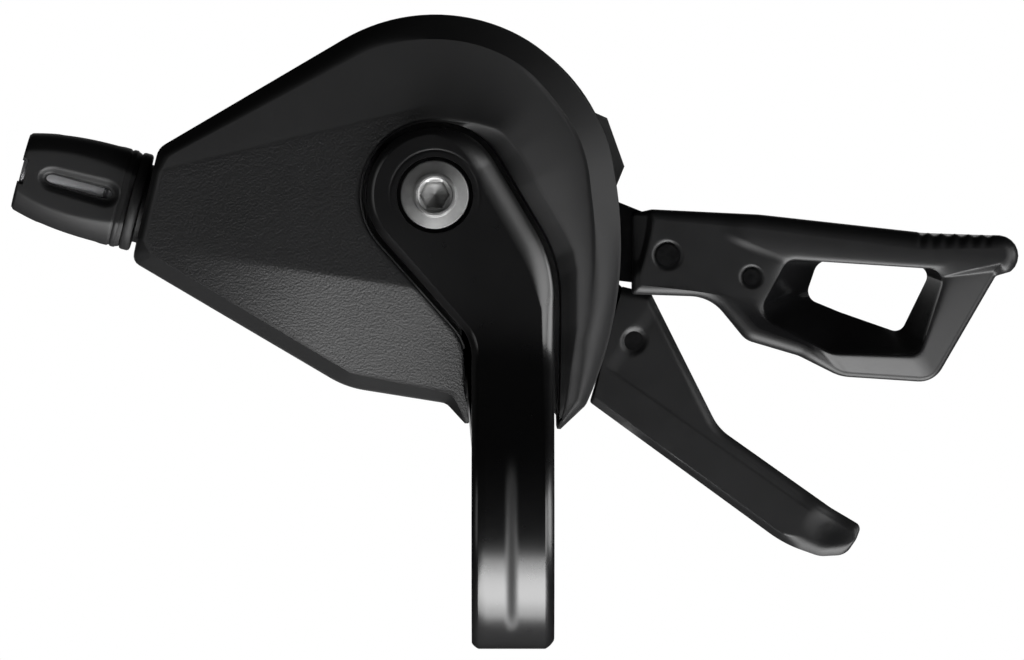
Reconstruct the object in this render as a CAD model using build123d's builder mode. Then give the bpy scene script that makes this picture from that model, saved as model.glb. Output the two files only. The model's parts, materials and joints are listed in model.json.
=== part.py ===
from build123d import *
import os
from math import acos, atan2, cos, degrees, radians, sin, tan

# Trigger gear shifter for the right end of a flat handlebar, in millimetres.
# The origin is the centre of the handlebar clamp. +X runs along the bar towards the grip, +Z from
# the bar towards the body, and +Y away from the side that carries the clamp arm. A depth is a Y
# value. Sketches of the body have their origin on the lever pivot, as seen from the arm's side.

os.makedirs("parts", exist_ok=True)

# Handlebar band and its ears
BAR_R = 11.1
BAND_WALL = 2.8
BAND_WIDTH = 9.5
SPLIT_LOW = 0.9
SPLIT_GAP = 2.4
EAR_OVERHANG = 0.3
EAR_HEIGHT = 5.4
EAR_REACH = 6.0
EAR_BITE = 1.1
CLAMP_SCREW_R = 2.0
CLAMP_HEAD_R = 3.4
CLAMP_HEAD = 2.6
CLAMP_SOCKET = 3.0
SOCKET_SHARE = 0.7

# Lever pivot and clamp arm
PIVOT_X = -9.0
PIVOT_Z = 38.3
ARM_THICK = 4.6
BOSS_R = 7.85
ARM_RIGHT_LEAN = 30.6
ARM_LEFT_LEAN = 41.5
ARM_RIGHT_BEND = 16.0
ARM_LEFT_BEND = 5.0
ARM_FOLD = 5.6
ARM_BEVEL = 0.9
BOLT_R = 2.5
BOLT_HEAD_R = 4.0
BOLT_HEAD = 2.4
BOLT_RING_R = 2.4
BOLT_SOCKET = 3.0
BOLT_REACH = 7.0
BOLT_ROOM = 0.4

# Stack of plates on the axle
COVER_WALL = 1.8
RUN_GAP = 0.1
LEVER_PLATE = 1.6
WASHER = 0.5
CLIP = 0.6
RATCHET = 1.3
CABLE_GROOVE = 3.2
BASE_THICK = 1.2
AXLE_HEAD = 0.8
AXLE_R = 4.0
AXLE_HEAD_R = 5.5
AXLE_FIT = 0.05
HUB_R = 7.2

# Covers, seen from the arm's side
HOUSING_R = 20.87
TOP_SLOPE = 30.5
TOP_RUN = 24.7
LEFT_FOOT = (-34.7, -7.5)
KEEL = (-10.3, -22.0)
GUSSET = ((1.4, -23.6), (4.05, -26.4))
UNDER_ARM = ((4.05, -24.0), (13.9, -23.6))
TAIL = (14.0, -27.0)
TAIL_CORNER = (17.2, -23.9)
CHEEK = (21.3, -9.5)
OUTLINE_ROUNDS = (2.0, 2.5, 6.0, 1.5, 0.4, 0.3, 0.4, 0.8)
CHEEK_ANGLE = 7.0
COVER_PROUD = 2.2
CREST_INSET = 3.0
SHOULDER_DROP = 2.6
HOOD_PROUD = 4.0
HOOD_START_R = 12.0
HOOD_TOP = 50.0
HOOD_FADE_WAY = 145.0
HOOD_FADE = 12.0
BROW_ANGLE = -16.0
LOWER_CREASE = (-16.6, -8.5)
LOWER_CREASE_ANGLE = -98.7
LOWER_SLOPE = 14.0
UPPER_CREASE = (-21.2, 6.1)
UPPER_CREASE_ANGLE = 105.3
UPPER_SLOPE = 5.0
SKIRT = 1.5
SKIRT_SLOPE = 62.0
RECESS_GAP = 0.6
RECESS_LEAN = 28.0
GUTTER = (-1.7, -11.5)
GUTTER_WAY = -41.4
GUTTER_SLOPE = 9.7
BACK_BEVEL = 2.2
BEVEL_SLOPE = 45.0
LEFT_WAY = 166.7
TAIL_WAY = -103.0
COVER_SCREWS = ((-27.0, 3.3), (-13.0, -15.4), (7.2, 14.6))
SCREW_R = 1.1
SCREW_HEAD_R = 2.0
SCREW_HEAD = 1.4
SCREW_BOSS_R = 2.6
LEDGE_R = 13.0
LEDGE_WIDTH = 3.0

# Ratchet drum
TEETH = 24
TOOTH_TIP_R = 12.2
TOOTH_DEPTH = 1.2
CABLE_R = 9.6
SPRING_POCKET_R = 8.0
SPRING_POCKET = 2.0
STRIP = 0.45

# Pawls
PAWL_EYE_R = 1.9
PAWL_NOSE_R = 0.7
PAWL_LIFT = 0.3
PAWL_PIN_R = 1.0
HOLD_PIN = (-15.0, -8.5)
HOLD_NOSE_ANGLE = 185.0
NOSE_BEHIND_FACE = 4.8
DRIVE_PIN_ANGLE = 112.0
DRIVE_NOSE_ANGLE = 140.0
WIRE_R = 0.25
RELEASE_LEG = 5.0
HOLD_LEG = 3.0
DRIVE_LEG = 1.2

# Levers
PADDLE_WALL = 2.6
PADDLE_DEPTH = 7.4
RELEASE_RIVET = (26.8, -6.9)
RELEASE_PIN = (36.5, -9.4)
RELEASE_RIVET_R = 1.25
RELEASE_PIN_R = 0.9
MAIN_DEPTH = 6.4
MAIN_RIVET = (23.0, -16.8)
MAIN_PLATE_TIP = (32.5, -31.0)
MAIN_RIVET_R = 1.1
RIVET_FIT = 0.02
RELEASE_TRAVEL = (-5.0, 12.0)
MAIN_TRAVEL = 45.0
SLOT_ROOM = 7.0

# Cable adjuster
CABLE_SLOPE = 15.0
SLEEVE_R = 3.3
SLEEVE_FIT = 0.06
CASING_R = 2.55
CASING_DEPTH = 6.0
WIRE_HOLE_R = 1.0
BARREL_R = 5.75
BARREL_MID_R = 5.6
BARREL_END_R = 3.85
BARREL = 11.8
COLLAR = 2.6
COLLAR_NECK_R = 4.6
COLLAR_GAP = 1.4
COLLAR_BEVEL = 0.3
COLLAR_SINK = 0.7
SLEEVE_TAIL = 7.0
GUIDE_R = 5.2
BARREL_SLOTS = 4
BARREL_SLOT = (6.6, 2.6)
BARREL_NOTCH = (1.2, 3.2)

# Depths that follow from the stack
BAND_R = BAR_R + BAND_WALL
ARM_SEAT = ARM_THICK
CEILING = ARM_SEAT + COVER_WALL
CLIP_NEAR = CEILING + RUN_GAP
RELEASE_NEAR = CLIP_NEAR + CLIP + RUN_GAP
RELEASE_FAR = RELEASE_NEAR + LEVER_PLATE
DRUM_NEAR = RELEASE_FAR + WASHER + 2 * RUN_GAP
DRUM_FAR = DRUM_NEAR + 2 * RATCHET + CABLE_GROOVE
PARTING = DRUM_NEAR + RATCHET + CABLE_GROOVE / 2
MAIN_NEAR = DRUM_FAR + WASHER + 2 * RUN_GAP
MAIN_FAR = MAIN_NEAR + LEVER_PLATE
BASE_NEAR = MAIN_FAR + WASHER + 2 * RUN_GAP
BASE_FAR = BASE_NEAR + BASE_THICK
FLOOR = BASE_FAR + AXLE_HEAD + RUN_GAP
BACK = FLOOR + COVER_WALL
COVER_FACE = ARM_SEAT - COVER_PROUD
HOOD_FACE = ARM_SEAT - HOOD_PROUD
SHOULDER = COVER_FACE + SHOULDER_DROP
RELEASE_PADDLE_NEAR = RELEASE_NEAR - PADDLE_WALL
RELEASE_PADDLE_FAR = RELEASE_PADDLE_NEAR + PADDLE_DEPTH
MAIN_PADDLE_FAR = MAIN_FAR + (MAIN_DEPTH - LEVER_PLATE) / 2
MAIN_PADDLE_NEAR = MAIN_PADDLE_FAR - MAIN_DEPTH

PIVOT_AXIS = Axis((PIVOT_X, 0, PIVOT_Z), (0, -1, 0))
CUTTER = 60.0


def polar(radius, angle):
    """Point on a body sketch at a radius and an angle about the pivot."""
    return (radius * cos(radians(angle)), radius * sin(radians(angle)))


def body_plane(depth):
    """Sketch plane at a depth, with its origin on the pivot; a positive extrusion comes nearer."""
    return Plane(origin=(PIVOT_X, depth, PIVOT_Z), x_dir=(1, 0, 0), z_dir=(0, -1, 0))


def radial_plane(angle):
    """Plane through the pivot axis: local x runs outwards at an angle, local y is the depth."""
    outwards = (cos(radians(angle)), 0, sin(radians(angle)))
    return Plane(origin=(PIVOT_X, 0, PIVOT_Z), x_dir=outwards, z_dir=(-outwards[2], 0, outwards[0]))


def sloping_plane(point, angle, depth, slope):
    """Plane through a body point at a depth, which falls away at a slope in the direction of an angle."""
    lean = sin(radians(slope))
    way = (cos(radians(angle)), sin(radians(angle)))
    return Plane(
        origin=(PIVOT_X + point[0], depth, PIVOT_Z + point[1]),
        x_dir=(-way[1], 0, way[0]),
        z_dir=(lean * way[0], -cos(radians(slope)), lean * way[1]),
    )


def ratchet_points(phase):
    """Saw-tooth outline: each tooth has a radial face and a ramp that falls towards the next one."""
    pitch = 360 / TEETH
    points = []
    for tooth in range(TEETH):
        points.append(polar(TOOTH_TIP_R - TOOTH_DEPTH, phase + tooth * pitch))
        points.append(polar(TOOTH_TIP_R, phase + tooth * pitch))
    return points


def spiral(inner, outer, turns):
    """Half circles that grow from an inner to an outer radius; draws into the open line block."""
    halves = 2 * turns
    growth = (outer - inner) / halves
    end = (inner, 0)
    for half in range(halves):
        side = 1 if half % 2 == 0 else -1
        reach = 2 * (inner + half * growth) + growth
        other = (end[0] - side * reach, 0)
        ThreePointArc(end, ((end[0] + other[0]) / 2, side * reach / 2), other)
        end = other


# Outline of both covers: round about the pivot, with a wedge towards the cable adjuster
top_end = polar(HOUSING_R, 90 + TOP_SLOPE)
left_top = (
    top_end[0] - TOP_RUN * cos(radians(TOP_SLOPE)),
    top_end[1] - TOP_RUN * sin(radians(TOP_SLOPE)),
)
with BuildSketch() as housing_outline:
    with BuildLine():
        crown = CenterArc((0, 0), HOUSING_R, CHEEK_ANGLE, 90 + TOP_SLOPE - CHEEK_ANGLE)
        corners = (left_top, LEFT_FOOT, KEEL, *GUSSET, *UNDER_ARM, TAIL, TAIL_CORNER)
        belly = FilletPolyline(crown @ 1, *corners, radius=OUTLINE_ROUNDS)
        ThreePointArc(belly @ 1, CHEEK, crown @ 0)
    make_face()

# The adjuster's collar is sunk into the covers where the cable's line crosses their left edge
cable_way = (-cos(radians(CABLE_SLOPE)), sin(radians(CABLE_SLOPE)))
cable_foot = (-CABLE_R * sin(radians(CABLE_SLOPE)), -CABLE_R * cos(radians(CABLE_SLOPE)))
left_edge = (left_top[0] - LEFT_FOOT[0], left_top[1] - LEFT_FOOT[1])
to_edge = (LEFT_FOOT[0] - cable_foot[0], LEFT_FOOT[1] - cable_foot[1])
cable_crossing = (to_edge[0] * left_edge[1] - to_edge[1] * left_edge[0]) / (
    cable_way[0] * left_edge[1] - cable_way[1] * left_edge[0]
)
adjuster_seat = cable_crossing - COLLAR_SINK


def adjuster_plane(distance):
    """Plane across the cable's line, at a distance from where the cable leaves the drum."""
    return Plane(
        origin=(
            PIVOT_X + cable_foot[0] + distance * cable_way[0],
            PARTING,
            PIVOT_Z + cable_foot[1] + distance * cable_way[1],
        ),
        x_dir=(-cable_way[1], 0, cable_way[0]),
        z_dir=(cable_way[0], 0, cable_way[1]),
    )


# Outline of the clamp arm: two flanks tangent to the boss, running down to the band's sides
band_right = BAND_WIDTH / 2 - PIVOT_X
band_left = -BAND_WIDTH / 2 - PIVOT_X
arm_foot = -PIVOT_Z + BAND_R - BAND_WALL / 2
right_way = (cos(radians(ARM_RIGHT_LEAN)), sin(radians(ARM_RIGHT_LEAN)))
left_way = (cos(radians(180 + ARM_LEFT_LEAN)), sin(radians(180 + ARM_LEFT_LEAN)))
right_bend = (band_right, (BOSS_R - band_right * right_way[0]) / right_way[1])
left_bend = (band_left, (BOSS_R - band_left * left_way[0]) / left_way[1])
with BuildSketch() as arm_outline:
    with BuildLine():
        boss = CenterArc((0, 0), BOSS_R, ARM_RIGHT_LEAN, 180 + ARM_LEFT_LEAN - ARM_RIGHT_LEAN)
        left_flank = FilletPolyline(boss @ 1, left_bend, (band_left, arm_foot), radius=ARM_LEFT_BEND)
        right_flank = FilletPolyline(boss @ 0, right_bend, (band_right, arm_foot), radius=ARM_RIGHT_BEND)
        Line(left_flank @ 1, right_flank @ 1)
    make_face()

# Edge of the hood, which runs beside the arm from the boss to the tail
HOOD_EDGE = ((8.1, 8.0), (12.1, 0.6), (15.8, -6.3), (16.3, -12.1), (15.1, -30.0))
HOOD_CORNER = (5.2, 8.6)

# Clamp bracket: arm, sloping neck and split band
fold_z = BAND_R + ARM_FOLD
neck_angle = 90 - degrees(acos(BAND_R / fold_z))
neck_touch = (-BAND_R * cos(radians(neck_angle)), BAND_R * sin(radians(neck_angle)))
ear_far = BAND_R + EAR_REACH
ear_near = BAR_R - EAR_BITE
clamp_screw_depth = BAND_R + EAR_REACH / 2
with BuildPart() as clamp_bracket:
    with BuildSketch(body_plane(ARM_SEAT)):
        add(arm_outline.sketch)
    extrude(amount=ARM_THICK)
    chamfer(clamp_bracket.faces().sort_by(Axis.Y)[0].edges().sort_by(Axis.Z)[1:], length=ARM_BEVEL)
    with BuildSketch(Plane.YZ.offset(-BAND_WIDTH / 2)):
        Circle(BAND_R)
        with BuildLine():
            Polyline((ARM_SEAT, fold_z), (0, fold_z), neck_touch, (0, 0), (ARM_SEAT, 0), close=True)
        make_face()
    extrude(amount=BAND_WIDTH)
    with BuildSketch(Plane.YZ.offset(-BAND_WIDTH / 2 - EAR_OVERHANG)):
        with Locations((ear_near, SPLIT_LOW - EAR_HEIGHT)):
            Rectangle(ear_far - ear_near, 2 * EAR_HEIGHT + SPLIT_GAP, align=(Align.MIN, Align.MIN))
    extrude(amount=BAND_WIDTH + 2 * EAR_OVERHANG)
    with BuildSketch(Plane.YZ.offset(-BAND_WIDTH)):
        Circle(BAR_R)
        with Locations((0, SPLIT_LOW)):
            Rectangle(2 * ear_far, SPLIT_GAP, align=(Align.MIN, Align.MIN))
    extrude(amount=2 * BAND_WIDTH, mode=Mode.SUBTRACT)
    with BuildSketch(Plane.XY.offset(SPLIT_LOW - EAR_HEIGHT)):
        with Locations((0, clamp_screw_depth)):
            Circle(CLAMP_SCREW_R + RIVET_FIT)
    extrude(amount=2 * EAR_HEIGHT + SPLIT_GAP, mode=Mode.SUBTRACT)
    with BuildSketch(body_plane(ARM_SEAT)):
        Circle(BOLT_R + RUN_GAP)
    extrude(amount=ARM_THICK, mode=Mode.SUBTRACT)
    with BuildSketch(body_plane(BOLT_HEAD)):
        Circle(BOLT_HEAD_R + BOLT_ROOM)
    extrude(amount=BOLT_HEAD, mode=Mode.SUBTRACT)
clamp_bracket.part.label = "clamp_bracket"
export_step(clamp_bracket.part, "parts/clamp_bracket.step")

# Clamp screw: cylinder head under the lower ear
clamp_screw_low = SPLIT_LOW - EAR_HEIGHT
with BuildPart() as clamp_screw:
    with BuildSketch(Plane.XY.offset(clamp_screw_low)):
        with Locations((0, clamp_screw_depth)):
            Circle(CLAMP_SCREW_R)
    extrude(amount=2 * EAR_HEIGHT + SPLIT_GAP)
    with BuildSketch(Plane.XY.offset(clamp_screw_low - CLAMP_HEAD)):
        with Locations((0, clamp_screw_depth)):
            Circle(CLAMP_HEAD_R)
    extrude(amount=CLAMP_HEAD)
    chamfer(clamp_screw.edges().group_by(Axis.Z)[0], length=CLAMP_HEAD / 8)
    with BuildSketch(Plane.XY.offset(clamp_screw_low - CLAMP_HEAD)):
        with Locations((0, clamp_screw_depth)):
            RegularPolygon(CLAMP_SOCKET / 2, 6, major_radius=False)
    extrude(amount=CLAMP_HEAD * SOCKET_SHARE, mode=Mode.SUBTRACT)
clamp_screw.part.label = "clamp_screw"
export_step(clamp_screw.part, "parts/clamp_screw.step")

# Arm bolt: conical flange, raised ring, hexagon socket, shank into the axle
with BuildPart() as arm_bolt:
    with BuildSketch(radial_plane(0)):
        with BuildLine():
            Polyline(
                (0, 0),
                (BOLT_RING_R, 0),
                (BOLT_RING_R + BOLT_ROOM, BOLT_ROOM),
                (BOLT_HEAD_R, BOLT_HEAD / 2),
                (BOLT_HEAD_R, BOLT_HEAD),
                (BOLT_R, BOLT_HEAD),
                (BOLT_R, CEILING + BOLT_REACH - RUN_GAP),
                (0, CEILING + BOLT_REACH - RUN_GAP),
                close=True,
            )
        make_face()
    revolve(axis=PIVOT_AXIS)
    with BuildSketch(body_plane(BOLT_HEAD * SOCKET_SHARE)):
        RegularPolygon(BOLT_SOCKET / 2, 6, major_radius=False, rotation=30)
    extrude(amount=BOLT_HEAD, mode=Mode.SUBTRACT)
arm_bolt.part.label = "arm_bolt"
export_step(arm_bolt.part, "parts/arm_bolt.step")

# What the brow takes off the upper cover: it falls from the hood to the shoulder
crest_r = HOUSING_R - CREST_INSET
far_r = HOUSING_R + 2 * CREST_INSET


def round_the_crown(*points):
    """Solid that carries a profile round the crown and then straight down the cheek."""
    with BuildPart() as solid:
        with BuildSketch(radial_plane(BROW_ANGLE)) as profile:
            with BuildLine():
                Polyline(*points, close=True)
            make_face()
        revolve(axis=PIVOT_AXIS, revolution_arc=90 + TOP_SLOPE - BROW_ANGLE)
        extrude(profile.sketch, amount=-CUTTER / 2)
    return solid.part


brow = round_the_crown(
    (HOOD_START_R, HOOD_FACE),
    ((HOOD_START_R + crest_r) / 2, HOOD_FACE + (COVER_FACE - HOOD_FACE) / 3),
    (crest_r, COVER_FACE),
    (HOUSING_R, SHOULDER),
    (far_r, SHOULDER + CLIP),
    (far_r, HOOD_FACE - COVER_WALL),
    (HOOD_START_R, HOOD_FACE - COVER_WALL),
)
back_rim = round_the_crown(
    (HOUSING_R - BACK_BEVEL, BACK), (far_r, BACK - BACK_BEVEL - 2 * CREST_INSET), (far_r, BACK)
)

# Hood: smooth crown beside the arm, which fades into the cover above the boss
with BuildPart() as hood:
    with BuildSketch(body_plane(CEILING)):
        with BuildLine():
            Polyline(
                HOOD_CORNER,
                *HOOD_EDGE,
                (HOUSING_R + CREST_INSET, -HOUSING_R),
                polar(HOUSING_R, HOOD_TOP),
                close=True,
            )
        make_face()
        add(housing_outline.sketch, mode=Mode.INTERSECT)
    extrude(amount=CEILING - HOOD_FACE)
    add(brow, mode=Mode.SUBTRACT)
    split(bisect_by=sloping_plane(HOOD_CORNER, HOOD_FADE_WAY, COVER_FACE, HOOD_FADE), keep=Keep.BOTTOM)


def half_guide(side):
    """Half of the boss that holds the adjuster's sleeve, on one side of the parting plane."""
    with BuildPart() as guide:
        with BuildSketch(adjuster_plane(adjuster_seat - SLEEVE_TAIL)):
            Circle(GUIDE_R)
        extrude(amount=SLEEVE_TAIL)
        split(bisect_by=body_plane(PARTING), keep=side)
    return guide.part


def wedge(start, end):
    """Points of a sector of the body from one angle to another."""
    return [(0, 0)] + [polar(CUTTER, start + step * (end - start) / 4) for step in range(5)]


def lever_window(point, hub_r, end_r, travel):
    """Angles at the covers' wall that a tapered lever plate sweeps, from lowest to highest."""
    rest = degrees(atan2(point[1], point[0]))
    reach = (point[0] ** 2 + point[1] ** 2) ** 0.5
    half_width = hub_r + (end_r - hub_r) * HOUSING_R / reach
    half_angle = degrees(half_width / HOUSING_R) + SLOT_ROOM / 2
    return rest - half_angle + travel[0], rest + half_angle + travel[1]


near_guide = half_guide(Keep.TOP)
far_guide = half_guide(Keep.BOTTOM)
release_end_r = HUB_R / 2
main_end_r = HUB_R / 2
release_window = lever_window(RELEASE_RIVET, HUB_R, release_end_r, RELEASE_TRAVEL)
main_window = lever_window(MAIN_RIVET, HUB_R, main_end_r, (0, MAIN_TRAVEL))

# Facets of the upper cover: a point, the way it falls, its depth there and its slope
top_way = 90 + TOP_SLOPE
keel_way = degrees(atan2(KEEL[1] - LEFT_FOOT[1], KEEL[0] - LEFT_FOOT[0])) - 90
keel_rim = (KEEL[0] - SKIRT * cos(radians(keel_way)), KEEL[1] - SKIRT * sin(radians(keel_way)))
to_gutter = (GUTTER[0] - LOWER_CREASE[0], GUTTER[1] - LOWER_CREASE[1])
crease_way = polar(1, LOWER_CREASE_ANGLE)
gutter_depth = COVER_FACE + tan(radians(LOWER_SLOPE)) * (
    to_gutter[0] * crease_way[0] + to_gutter[1] * crease_way[1]
)
recess_run = (ARM_SEAT - HOOD_FACE) * tan(radians(RECESS_LEAN))
FACETS = (
    (polar(crest_r, top_way), top_way, COVER_FACE, degrees(atan2(SHOULDER_DROP, CREST_INSET))),
    (UPPER_CREASE, UPPER_CREASE_ANGLE, COVER_FACE, UPPER_SLOPE),
    (LOWER_CREASE, LOWER_CREASE_ANGLE, COVER_FACE, LOWER_SLOPE),
    (GUTTER, GUTTER_WAY, gutter_depth, GUTTER_SLOPE),
    (keel_rim, keel_way, SHOULDER, SKIRT_SLOPE),
)
BACK_BEVELS = ((top_end, top_way), (LEFT_FOOT, LEFT_WAY), (KEEL, keel_way), (TAIL, TAIL_WAY))

# Upper cover: facets, hood, recess for the arm, mouth for the release lever
with BuildPart() as upper_cover:
    with BuildSketch(body_plane(PARTING)):
        add(housing_outline.sketch)
    extrude(amount=PARTING - COVER_FACE)
    for point, way, depth, slope in FACETS:
        split(bisect_by=sloping_plane(point, way, depth, slope), keep=Keep.BOTTOM)
    add(brow, mode=Mode.SUBTRACT)
    add(hood.part)
    with BuildSketch(body_plane(ARM_SEAT)):
        add(arm_outline.sketch)
        offset(amount=RECESS_GAP, mode=Mode.REPLACE)
    extrude(amount=ARM_SEAT - HOOD_FACE + COVER_WALL, mode=Mode.SUBTRACT)
    with BuildSketch(body_plane(ARM_SEAT)):
        with BuildLine():
            Polyline(*HOOD_EDGE, (band_left, HOOD_EDGE[-1][1]), (0, 0), close=True)
        make_face()
        offset(amount=-recess_run, kind=Kind.INTERSECTION, mode=Mode.REPLACE)
    extrude(amount=ARM_SEAT - HOOD_FACE, taper=-RECESS_LEAN, mode=Mode.SUBTRACT)
    with BuildSketch(body_plane(PARTING)):
        add(housing_outline.sketch)
        offset(amount=-COVER_WALL, mode=Mode.REPLACE)
    extrude(amount=PARTING - CEILING, mode=Mode.SUBTRACT)
    with BuildSketch(body_plane(PARTING)):
        with Locations(*COVER_SCREWS):
            Circle(SCREW_BOSS_R)
        add(housing_outline.sketch, mode=Mode.INTERSECT)
    extrude(amount=PARTING - CEILING)
    add(near_guide)
    with BuildSketch(body_plane(PARTING)):
        with Locations(*COVER_SCREWS):
            Circle(SCREW_R + RIVET_FIT)
    extrude(amount=PARTING - CEILING, mode=Mode.SUBTRACT)
    with BuildSketch(body_plane(PARTING)):
        with BuildLine():
            Polyline(*wedge(*release_window), close=True)
        make_face()
    extrude(amount=PARTING - CEILING - CLIP + RUN_GAP, mode=Mode.SUBTRACT)
    with BuildSketch(body_plane(CEILING)):
        Circle(BOLT_R + RUN_GAP)
    extrude(amount=COVER_WALL, mode=Mode.SUBTRACT)
    with BuildSketch(adjuster_plane(adjuster_seat - SLEEVE_TAIL)):
        Circle(SLEEVE_R + SLEEVE_FIT)
    extrude(amount=2 * SLEEVE_TAIL, mode=Mode.SUBTRACT)
    with BuildSketch(adjuster_plane(adjuster_seat)):
        Circle(COLLAR_NECK_R + RIVET_FIT)
    extrude(amount=SLEEVE_TAIL, mode=Mode.SUBTRACT)
upper_cover.part.label = "upper_cover"
export_step(upper_cover.part, "parts/upper_cover.step")

# Lower cover: tray with the lug, a ledge for the base plate and the main lever's window
LUG = ((15.0, 8.0), (18.1, 9.8), (19.9, 9.0), (21.9, 3.4), (21.0, 1.2), (17.0, 0.5))
window_near = MAIN_NEAR - WASHER
window_far = MAIN_FAR + WASHER
with BuildPart() as lower_cover:
    with BuildSketch(body_plane(BACK)):
        add(housing_outline.sketch)
    extrude(amount=BACK - PARTING)
    add(back_rim, mode=Mode.SUBTRACT)
    for corner, way in BACK_BEVELS:
        split(bisect_by=sloping_plane(corner, way, BACK - BACK_BEVEL, 180 - BEVEL_SLOPE), keep=Keep.BOTTOM)
    with BuildSketch(body_plane(window_near)):
        with BuildLine():
            Polyline(*LUG, close=True)
        make_face()
    extrude(amount=window_near - PARTING)
    with BuildSketch(body_plane(FLOOR)):
        add(housing_outline.sketch)
        offset(amount=-COVER_WALL, mode=Mode.REPLACE)
    extrude(amount=FLOOR - PARTING, mode=Mode.SUBTRACT)
    with BuildSketch(body_plane(FLOOR)):
        Circle(LEDGE_R)
        Circle(LEDGE_R - LEDGE_WIDTH, mode=Mode.SUBTRACT)
    extrude(amount=FLOOR - BASE_FAR)
    with BuildSketch(body_plane(FLOOR)):
        with Locations(*COVER_SCREWS):
            Circle(SCREW_BOSS_R)
        add(housing_outline.sketch, mode=Mode.INTERSECT)
    extrude(amount=FLOOR - PARTING)
    add(far_guide)
    with BuildSketch(body_plane(BACK)):
        with Locations(*COVER_SCREWS):
            Circle(SCREW_R + RIVET_FIT)
    extrude(amount=BACK - PARTING, mode=Mode.SUBTRACT)
    with BuildSketch(body_plane(BACK)):
        with Locations(*COVER_SCREWS):
            Circle(SCREW_HEAD_R + RIVET_FIT)
    extrude(amount=SCREW_HEAD, mode=Mode.SUBTRACT)
    with BuildSketch(body_plane(window_far)):
        with BuildLine():
            Polyline(*wedge(*main_window), close=True)
        make_face()
    extrude(amount=window_far - window_near, mode=Mode.SUBTRACT)
    with BuildSketch(body_plane(window_far)):
        with BuildLine():
            Polyline(*wedge(main_window[0], main_window[1] - MAIN_TRAVEL), close=True)
        make_face()
    extrude(amount=window_far - PARTING, mode=Mode.SUBTRACT)
    with BuildSketch(adjuster_plane(adjuster_seat - SLEEVE_TAIL)):
        Circle(SLEEVE_R + SLEEVE_FIT)
    extrude(amount=2 * SLEEVE_TAIL, mode=Mode.SUBTRACT)
    with BuildSketch(adjuster_plane(adjuster_seat)):
        Circle(COLLAR_NECK_R + RIVET_FIT)
    extrude(amount=SLEEVE_TAIL, mode=Mode.SUBTRACT)
lower_cover.part.label = "lower_cover"
export_step(lower_cover.part, "parts/lower_cover.step")

# Cover screws: three alike, driven from behind
with BuildPart() as cover_screws:
    with BuildSketch(body_plane(BACK)):
        with Locations(*COVER_SCREWS):
            Circle(SCREW_R)
    extrude(amount=BACK - CEILING - COVER_WALL)
    with BuildSketch(body_plane(BACK)):
        with Locations(*COVER_SCREWS):
            Circle(SCREW_HEAD_R)
    extrude(amount=SCREW_HEAD)
    with BuildSketch(body_plane(BACK)):
        with Locations(*COVER_SCREWS):
            RegularPolygon(SCREW_R, 6)
    extrude(amount=SCREW_HEAD / 2, mode=Mode.SUBTRACT)
cover_screws.part.label = "cover_screws"
export_step(cover_screws.part, "parts/cover_screws.step")

# Base plate: carries the axle and the holding pawl's pin
with BuildPart() as base_plate:
    with BuildSketch(body_plane(BASE_FAR)):
        Circle(LEDGE_R)
        with Locations(HOLD_PIN):
            Circle(PAWL_EYE_R + BASE_THICK)
        make_hull()
        Circle(AXLE_R + RIVET_FIT, mode=Mode.SUBTRACT)
        with Locations(HOLD_PIN):
            Circle(PAWL_PIN_R + RIVET_FIT, mode=Mode.SUBTRACT)
    extrude(amount=BASE_THICK)
base_plate.part.label = "base_plate"
export_step(base_plate.part, "parts/base_plate.step")

# Main axle: riveted head behind the base plate, bore for the arm bolt, groove for the clip
with BuildPart() as main_axle:
    with BuildSketch(body_plane(BASE_FAR)):
        Circle(AXLE_R)
    extrude(amount=BASE_FAR - CEILING)
    with BuildSketch(body_plane(BASE_FAR + AXLE_HEAD)):
        Circle(AXLE_HEAD_R)
    extrude(amount=AXLE_HEAD)
    with BuildSketch(body_plane(CEILING + BOLT_REACH)):
        Circle(BOLT_R + RIVET_FIT)
    extrude(amount=BOLT_REACH, mode=Mode.SUBTRACT)
    with BuildSketch(body_plane(CLIP_NEAR + CLIP)):
        Circle(AXLE_R)
        Circle(AXLE_R - CLIP + RIVET_FIT, mode=Mode.SUBTRACT)
    extrude(amount=CLIP, mode=Mode.SUBTRACT)
main_axle.part.label = "main_axle"
export_step(main_axle.part, "parts/main_axle.step")

# Retaining ring: open spring clip in the axle's groove
clip_inner = AXLE_R - CLIP + 2 * RIVET_FIT
with BuildPart() as retaining_ring:
    with BuildSketch(body_plane(CLIP_NEAR + CLIP)):
        Circle(AXLE_R + 2 * CLIP)
        Circle(clip_inner, mode=Mode.SUBTRACT)
        with Locations((0, AXLE_R)):
            Rectangle(AXLE_R, 2 * AXLE_R, mode=Mode.SUBTRACT)
    extrude(amount=CLIP)
retaining_ring.part.label = "retaining_ring"
export_step(retaining_ring.part, "parts/retaining_ring.step")

# Thrust washers: between the plates that turn
with BuildPart() as thrust_washers:
    for far in (RELEASE_FAR + RUN_GAP + WASHER, DRUM_FAR + RUN_GAP + WASHER, BASE_NEAR - RUN_GAP):
        with BuildSketch(body_plane(far)):
            Circle(AXLE_HEAD_R)
            Circle(AXLE_R + AXLE_FIT, mode=Mode.SUBTRACT)
        extrude(amount=WASHER)
thrust_washers.part.label = "thrust_washers"
export_step(thrust_washers.part, "parts/thrust_washers.step")

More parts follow.
